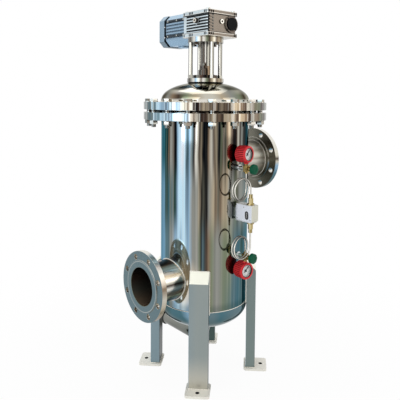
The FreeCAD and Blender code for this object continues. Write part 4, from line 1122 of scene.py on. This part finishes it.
class FILTER_OT_cover_bolts(PieceOperator, bpy.types.Operator):
    """Adds the sixteen cover bolts with washers and threads, and their nuts"""
    bl_idname = "filter.cover_bolts"
    bl_label = "Cover bolts"

    def build(self):
        metal = fastener_steel("cover_bolt_steel", (1.1270, 1.1340))
        place = (Matrix.Rotation(math.pi / BOLT_COUNT, 4, "Z")
                 @ Matrix.Translation((BOLT_CIRCLE_R, 0, 0)))
        bolts = bmesh.new()
        prism(bolts, 0.030, 1.1705, 1.181, 0.0012, place)
        lathe(bolts, [(0, 1.168), (0.0175, 1.168), (0.018, 1.1685), (0.018, 1.1702),
                      (0.0175, 1.1708), (0, 1.1708)], 36, False, place)
        pitch = sizes().thread_pitch
        profile = [(0, 1.064), (0.0085, 1.064), (0.0098, 1.0652)]
        for k in range(4):
            z = 1.0655 + k * pitch
            profile += [(0.0098, z), (0.0088, z + pitch * 0.45), (0.0098, z + pitch * 0.9)]
        profile += [(0.0098, 1.169), (0, 1.169)]
        lathe(bolts, profile, 28, False, place)
        self.repeat(bolts)
        stand_in("cover_bolts", bolts, metal)
        nuts = bmesh.new()
        prism(nuts, 0.030, 1.076, 1.0903, 0.0014, place)
        lathe(nuts, [(0, 1.0903), (0.0175, 1.0903), (0.018, 1.0908), (0.018, 1.0925),
                     (0.0175, 1.093), (0, 1.093)], 36, False, place)
        self.repeat(nuts)
        stand_in("cover_nuts", nuts, metal)

    def repeat(self, bm):
        geom = bm.verts[:] + bm.edges[:] + bm.faces[:]
        bmesh.ops.spin(bm, geom=geom, cent=(0, 0, 0), axis=(0, 0, 1), dvec=(0, 0, 0),
                       angle=2 * math.pi * (BOLT_COUNT - 1) / BOLT_COUNT,
                       steps=BOLT_COUNT - 1, use_duplicate=True,
                       use_merge=False, use_normal_flip=False)


class FILTER_OT_legs(PieceOperator, bpy.types.Operator):
    """Dresses the legs and their foot plates"""
    bl_idname = "filter.legs"
    bl_label = "Legs"

    def build(self):
        tube = satin_tube()
        for node in ("leg_inlet_front", "leg_outlet_front", "leg_outlet_rear",
                     "leg_inlet_rear"):
            dress(node, tube, sizes().tube_edge * 0.5)
        dress("foot_plates", foot_steel(), sizes().plate_edge)
        metal = weld_metal()
        for angle in LEG_ANGLES:
            turn = Matrix.Rotation(math.radians(angle), 4, "Z")
            base = [turn @ Vector(p) for p in
                    ((0.1895, -0.0405, 0.0108), (0.2305, -0.0405, 0.0108),
                     (0.2305, 0.0405, 0.0108), (0.1895, 0.0405, 0.0108))]
            weld("foot_weld_%d" % angle, base, sizes().weld_r * 0.8, metal)


class FILTER_OT_lantern(PieceOperator, bpy.types.Operator):
    """Dresses the lantern, the packing box and the shaft"""
    bl_idname = "filter.lantern"
    bl_label = "Lantern"

    def build(self):
        steel = lantern_steel()
        edge = sizes().plate_edge
        dress("lantern_base", steel, edge)
        dress("lantern_top", steel, edge)
        gland = turned("gland_steel", "0.08 soot 0.18 umber 0.28 ash 0.36 umber 0.52 soot "
                       "0.66 clay 0.90 soot", "bone", "soot")
        dress("packing_box", gland, edge * 0.6)
        dress("gland_follower", gland, edge * 0.6)
        dress("lantern_pillars", pillar_steel(), edge * 0.5)
        studs = turned("stud_steel", "0.1 soot 0.3 ash 0.4 umber 0.55 soot 0.7 clay 0.9 soot",
                       "bone", "soot")
        dress("lantern_fasteners", studs, edge * 0.6)
        dress("drive_shaft", shaft_steel())


class FILTER_OT_gear_unit(PieceOperator, bpy.types.Operator):
    """Dresses the gear unit and adds dark bars as painted shade in its side slots"""
    bl_idname = "filter.gear_unit"
    bl_label = "Gear unit"

    def build(self):
        cast = gear_cast()
        edge = sizes().cast_edge
        dress("gear_housing", cast, edge * 0.6)
        dress("upper_gear_cover", cast, edge)
        dress("lower_gear_cover", cast, edge)
        cover = turned("end_cover_steel", "0.06 soot 0.20 ash 0.30 bone 0.38 ash 0.50 umber "
                       "0.60 ash 0.75 umber 0.92 soot", "bone", "soot")
        dress("worm_end_cover", cover, edge * 0.4)
        dress("oil_plugs", plug_steel())
        dress("worm_bore_cap", plastic("cap_black", "ink", 0.4, 0.08), edge * 0.4)
        dress("gear_screws", fastener_steel(), edge * 0.4)
        # Black bars that stand for the shade in the covers' side slots.
        slots = bmesh.new()
        for z in (1.45175, 1.54275):
            for y in (-0.084, -0.074, 0.006, 0.016, 0.026, 0.062):
                bar(slots, (0.0010, 0.0058, 0.0105), (-0.0699, y, z), 0.0002)
            for x in (-0.060, -0.050, -0.040, 0.080, 0.090):
                bar(slots, (0.0058, 0.0010, 0.0105), (x, -0.0949, z), 0.0002)
        add_piece("gear_cover_slots", slots, plastic("slot_shade", "ink", 0.5, 0.05))


class FILTER_OT_motor(PieceOperator, bpy.types.Operator):
    """Dresses the motor, its cowl and terminal box, and adds a cable gland"""
    bl_idname = "filter.motor"
    bl_label = "Motor"

    def build(self):
        edge = sizes().cast_edge
        cast = motor_cast()
        dress("motor_housing", cast, edge * 0.7)
        dress("fan_cowl", cowl_paint(), edge * 0.5)
        lugs = bmesh.new()
        for z in (1.5405, 1.4718):
            for y in (0.100, 0.150, 0.200, 0.268):
                bar(lugs, (0.0030, 0.0100, 0.0075), (-0.0082, y, z), 0.0008)
        add_piece("motor_lugs", lugs, fastener_steel("lug_steel"))
        dress("terminal_box", cast, edge * 0.6)
        dress("cooling_fan", plastic("fan_black", "ink", 0.5))
        gland = bmesh.new()
        down = Matrix.Translation((0.155, 0.168, 1.449)) @ Matrix.Rotation(math.pi, 4, "X")
        prism(gland, 0.024, -0.001, 0.009, 0.001, down)
        prism(gland, 0.021, 0.009, 0.018, 0.001, down, 0.3)
        lathe(gland, [(0, 0.017), (0.0095, 0.017), (0.0095, 0.020), (0.008, 0.024),
                      (0.0058, 0.0255), (0.0058, 0.022), (0, 0.022)], 40, False, down)
        add_piece("cable_gland", gland, plastic("gland_black", "ink", 0.4))
        screws = bmesh.new()
        for y in (0.126, 0.209):
            for z in (1.455, 1.543):
                out = (Matrix.Translation((0.1755, y, z))
                       @ Matrix.Rotation(math.radians(90), 4, "Y"))
                lathe(screws, [(0, 0), (0.0035, 0), (0.0035, 0.0015), (0.003, 0.0022),
                               (0.0018, 0.0024), (0.0018, 0.0012), (0, 0.0012)], 24, False, out)
        add_piece("terminal_screws", screws, fastener_steel())


class FILTER_OT_gauges(PieceOperator, bpy.types.Operator):
    """Adds the ribbed boots, dials and black rings of both gauges"""
    bl_idname = "filter.gauges"
    bl_label = "Gauges"

    def build(self):
        boots = bmesh.new()
        rings = bmesh.new()
        dials = bmesh.new()
        print_marks = bmesh.new()
        for name, z, turn, lean in GAUGES:
            out = outward(GAUGE_PLACE_R, z, turn)
            self.boot(boots, out, lean)
            lathe(rings, [(0.0244, 0.0462), (0.0283, 0.0462), (0.0283, 0.0485),
                          (0.0278, 0.0489), (0.0252, 0.0489), (0.0244, 0.0482)], 72, True, out)
            lathe(dials, [(0, 0.0391), (0.0279, 0.0391), (0.0279, 0.0394), (0, 0.0394)], 72,
                  False, out)
            self.marks(print_marks, out)
        # The second red is painted shade for the grooves between the ribs.
        red = (plastic("boot_red", "boot", 0.36, 0.3, 300),
               plastic("boot_groove_shade", "7c1519", 0.5, 0.1, 300))
        stand_in("gauge_boots", boots, red, 40)
        add_piece("gauge_rings", rings, plastic("ring_black", "ink", 0.35))
        add_piece("gauge_dials", dials, dial_white())
        add_piece("gauge_marks", print_marks, plastic("mark_black", "ink", 0.6))
        needle = plastic("needle_black", "ink", 0.6, 0.0)
        for name, z, turn, lean in GAUGES:
            node = name + "_pointer"
            bold = node_copy(node)
            self.thicken(bold, outward(GAUGE_PLACE_R, z, turn))
            stand_in(node, bold, needle)
        cases = turned("gauge_steel", "0.1 umber 0.4 ash 0.6 pearl 0.85 bone 0.95 umber")
        dress("gauge_cases", cases)
        dress("gauge_lenses", clear_window())

    def boot(self, bm, out, lean):
        """One boot, with ribs along its side, painted shade in the grooves between them, and a
        collar round the stem.
        """
        count = sizes().rib_count
        profile = [(0, 0), (0.0290, 0), (0.0322, 0.0012), (BOOT_R, 0.0035), (BOOT_R, 0.0435),
                   (0.0343, 0.0450), (0.0345, 0.0470), (BOOT_R, 0.0490), (0.0315, 0.0500),
                   (0.0268, 0.0500), (0.0262, 0.0494), (0.0262, 0.0490), (0.0300, 0.0485),
                   (0.0300, 0.0040), (0, 0.0040)]
        made = lathe(bm, profile, count * RIB_STEPS, False)
        for vert in made:
            radius = math.hypot(vert.co.x, vert.co.y)
            if abs(radius - BOOT_R) < 1e-4 and vert.co.z < RIB_TOP:
                share = math.atan2(vert.co.y, vert.co.x) / (2 * math.pi)
                if round(share * count * RIB_STEPS) % RIB_STEPS < 4:
                    grown = (radius + sizes().rib_height) / radius
                    vert.co.x *= grown
                    vert.co.y *= grown
        # Painted shade: the grooves' faces take the darker red.
        for face in {face for vert in made for face in vert.link_faces}:
            low = [v for v in face.verts if abs(math.hypot(v.co.x, v.co.y) - BOOT_R) < 1e-4
                   and v.co.z < RIB_TOP]
            if len(low) >= 2 and len(face.verts) == 4 and abs(face.normal.z) < 0.3:
                face.material_index = 1
        bmesh.ops.transform(bm, matrix=out, verts=made)
        collar = Matrix.Translation(out @ Vector((0, -lean * BOOT_R, 0.036)))
        flip = Matrix.Rotation(math.pi if lean > 0 else 0.0, 4, "X")
        lathe(bm, [(0.0061, -0.004), (0.0110, -0.004), (0.0095, 0.003), (0.0085, 0.006),
                   (0.0061, 0.006)], 40, True, collar @ flip)

    def thicken(self, bm, out):
        """Widens a pointer across its length."""
        bmesh.ops.transform(bm, matrix=out.inverted(), verts=bm.verts)
        tip = max((v.co for v in bm.verts), key=lambda co: math.hypot(co.x, co.y))
        along = Matrix.Rotation(math.atan2(tip.x, tip.y), 4, "Z")
        bmesh.ops.transform(bm, matrix=along, verts=bm.verts)
        bmesh.ops.scale(bm, vec=(NEEDLE_WIDENING, 1.0, 1.0), verts=bm.verts)
        bmesh.ops.transform(bm, matrix=out @ along.inverted(), verts=bm.verts)

    def marks(self, bm, out):
        """The scale round the dial, and its rim line."""
        for k in range(DIAL_MARKS):
            major = k % 3 == 0
            length = 0.0036 if major else 0.0020
            angle = math.radians(DIAL_START + 10 * k)
            turn = Matrix.Rotation(-angle, 4, "Z")
            bar(bm, (0.0007 if major else 0.0004, length, 0.0001),
                (0, 0.0232 - length / 2, DIAL_PRINT_Z), 0.0, out @ turn)
        lathe(bm, [(0.0234, 0.0394), (0.0238, 0.0394), (0.0238, 0.0395), (0.0234, 0.0395)], 72,
              True, out)
        for k in range(5):
            angle = math.radians(-120 + 60 * k)
            place = Vector((math.sin(angle) * 0.0158, math.cos(angle) * 0.0158, DIAL_PRINT_Z))
            self.figure(bm, str(4 * k), out @ Matrix.Translation(place))

    def figure(self, bm, text, matrix):
        """A number on the dial."""
        curve = bpy.data.curves.new("figure", "FONT")
        curve.body = text
        curve.size = 0.0058
        curve.align_x = "CENTER"
        curve.align_y = "CENTER"
        mesh = curve_mesh(curve)
        before = set(bm.verts)
        bm.from_mesh(mesh)
        bmesh.ops.transform(bm, matrix=matrix, verts=[v for v in bm.verts if v not in before])


class FILTER_OT_valves(PieceOperator, bpy.types.Operator):
    """Dresses the needle valves and adds their lobed knobs"""
    bl_idname = "filter.valves"
    bl_label = "Valves"

    def build(self):
        dress("valve_bodies", valve_metal(), sizes().plate_edge * 0.7)
        green = plastic("knob_green", "knob", 0.4, 0.12, 200)
        for name, z in VALVES:
            bm = bmesh.new()
            made = lathe(bm, [(0, 0), (0.0175, 0), (0.0202, 0.0012), (0.0210, 0.0035),
                              (0.0210, 0.0125), (0.0203, 0.0152), (0.0180, 0.0166),
                              (0.0090, 0.0170), (0.0078, 0.0158), (0, 0.0158)], 128, False)
            for vert in made:
                radius = math.hypot(vert.co.x, vert.co.y)
                if radius > 0.015:
                    angle = math.atan2(vert.co.y, vert.co.x)
                    lobe = 1 - 0.038 * (1 - math.cos(8 * angle)) / 2
                    vert.co.x *= lobe
                    vert.co.y *= lobe
            lathe(bm, [(0, -0.018), (0.004, -0.018), (0.004, -0.005), (0.0105, -0.005),
                       (0.011, -0.0045), (0.011, 0.0005), (0, 0.0005)], 48, False)
            bmesh.ops.transform(bm, matrix=outward(KNOB_PLACE_R, z), verts=bm.verts)
            node = name + "_valve_knob"
            stand_in(node, bm, green, 40)


class FILTER_OT_switch(PieceOperator, bpy.types.Operator):
    """Dresses the pressure switch and adds its scale, screws and lid seam"""
    bl_idname = "filter.switch"
    bl_label = "Pressure switch"

    def build(self):
        plane = Matrix.Rotation(INSTRUMENT_TURN, 4, "Z")
        dress("switch_box", enamel_paint(), sizes().plate_edge)
        dress("switch_window", plastic("window_dark", "ink", 0.3, 0.1))
        bracket = turned("bracket_steel", "0.1 bone 0.22 enamel 0.35 enamel 0.6 bone 0.9 ash",
                         "pearl", "ash", 0.35)
        dress("switch_bracket", bracket, sizes().plate_edge * 0.6)
        dress("switch_fittings", brass_metal(), sizes().plate_edge * 0.7)
        scale = bmesh.new()
        for k in range(9):
            bar(scale, (0.0003, 0.004 if k % 2 else 0.007, 0.0005),
                (-0.01905, -0.2655, 0.7060 + 0.0025 * k), 0.0, plane)
        bar(scale, (0.0003, 0.0010, 0.022), (-0.01902, -0.2610, 0.716), 0.0, plane)
        add_piece("switch_scale", scale, dial_white())
        screws = bmesh.new()
        for y, z in ((-0.2495, 0.7475), (-0.2150, 0.7000), (-0.2830, 0.7000)):
            out = (plane @ Matrix.Translation((-0.0199, y, z))
                   @ Matrix.Rotation(math.radians(-90), 4, "Y"))
            lathe(screws, [(0, 0), (0.0024, 0), (0.0024, 0.0006), (0.0018, 0.0011),
                           (0.0008, 0.0012), (0.0008, 0.0004), (0, 0.0004)], 24, False, out)
        add_piece("switch_screws", screws, fastener_steel())
        seam = bmesh.new()
        for x in (-0.0201, 0.0221):
            bar(seam, (0.0003, 0.0006, 0.062), (x, -0.2125, 0.7245), 0.0, plane)
        add_piece("switch_seams", seam, plastic("seam_grey", "6d7074", 0.5))
        tube = tube_steel()
        dress("upper_capillary", tube)
        dress("lower_capillary", tube)


class FILTER_OT_inside(PieceOperator, bpy.types.Operator):
    """Finishes the pieces inside the vessel and the gear unit"""
    bl_idname = "filter.inside"
    bl_label = "Inside"

    def build(self):
        steel = lantern_steel()
        bronze = brass_metal("bearing_bronze")
        bristle = plastic("bristle_white", "d9d6c8", 0.5)
        for node, finish in (("screen_seat", steel), ("filter_screen", steel),
                             ("screen_lid", steel), ("brush_frame", steel),
                             ("cleaning_brushes", bristle), ("shaft_bushes", bronze),
                             ("worm_wheel", bronze), ("worm_shaft", shaft_steel("worm_steel")),
                             ("packing_rings", plastic("packing_black", "ink", 0.6))):
            dress(node, finish)


OPERATORS = (FILTER_OT_stage, FILTER_OT_vessel, FILTER_OT_flanges, FILTER_OT_welds,
             FILTER_OT_cover_bolts, FILTER_OT_legs, FILTER_OT_lantern, FILTER_OT_gear_unit,
             FILTER_OT_motor, FILTER_OT_gauges, FILTER_OT_valves, FILTER_OT_switch,
             FILTER_OT_inside)


class FILTER_PT_panel(bpy.types.Panel):
    """Lists the pieces and their settings"""
    bl_idname = "FILTER_PT_panel"
    bl_label = "Self cleaning filter"
    bl_space_type = "VIEW_3D"
    bl_region_type = "UI"
    bl_category = "Filter"

    def draw(self, context):
        column = self.layout.column()
        for operator in OPERATORS:
            column.operator(operator.bl_idname)
        for group in (context.scene.filter_sizes, context.scene.filter_colours):
            for name in group.bl_rna.properties.keys():
                if name not in ("rna_type", "name"):
                    column.prop(group, name)


CLASSES = (FilterColours, FilterSizes, *OPERATORS, FILTER_PT_panel)


def register():
    """Registers the classes and their settings."""
    for each in CLASSES:
        bpy.utils.register_class(each)
    bpy.types.Scene.filter_colours = bpy.props.PointerProperty(type=FilterColours)
    bpy.types.Scene.filter_sizes = bpy.props.PointerProperty(type=FilterSizes)


def unregister():
    """Takes them away again."""
    del bpy.types.Scene.filter_sizes
    del bpy.types.Scene.filter_colours
    for each in reversed(CLASSES):
        bpy.utils.unregister_class(each)


def main():
    """Builds every piece in order."""
    register()
    for operator in OPERATORS:
        group, name = operator.bl_idname.split(".")
        getattr(getattr(bpy.ops, group), name)()
    bpy.context.view_layer.update()


if __name__ == "__main__":
    main()
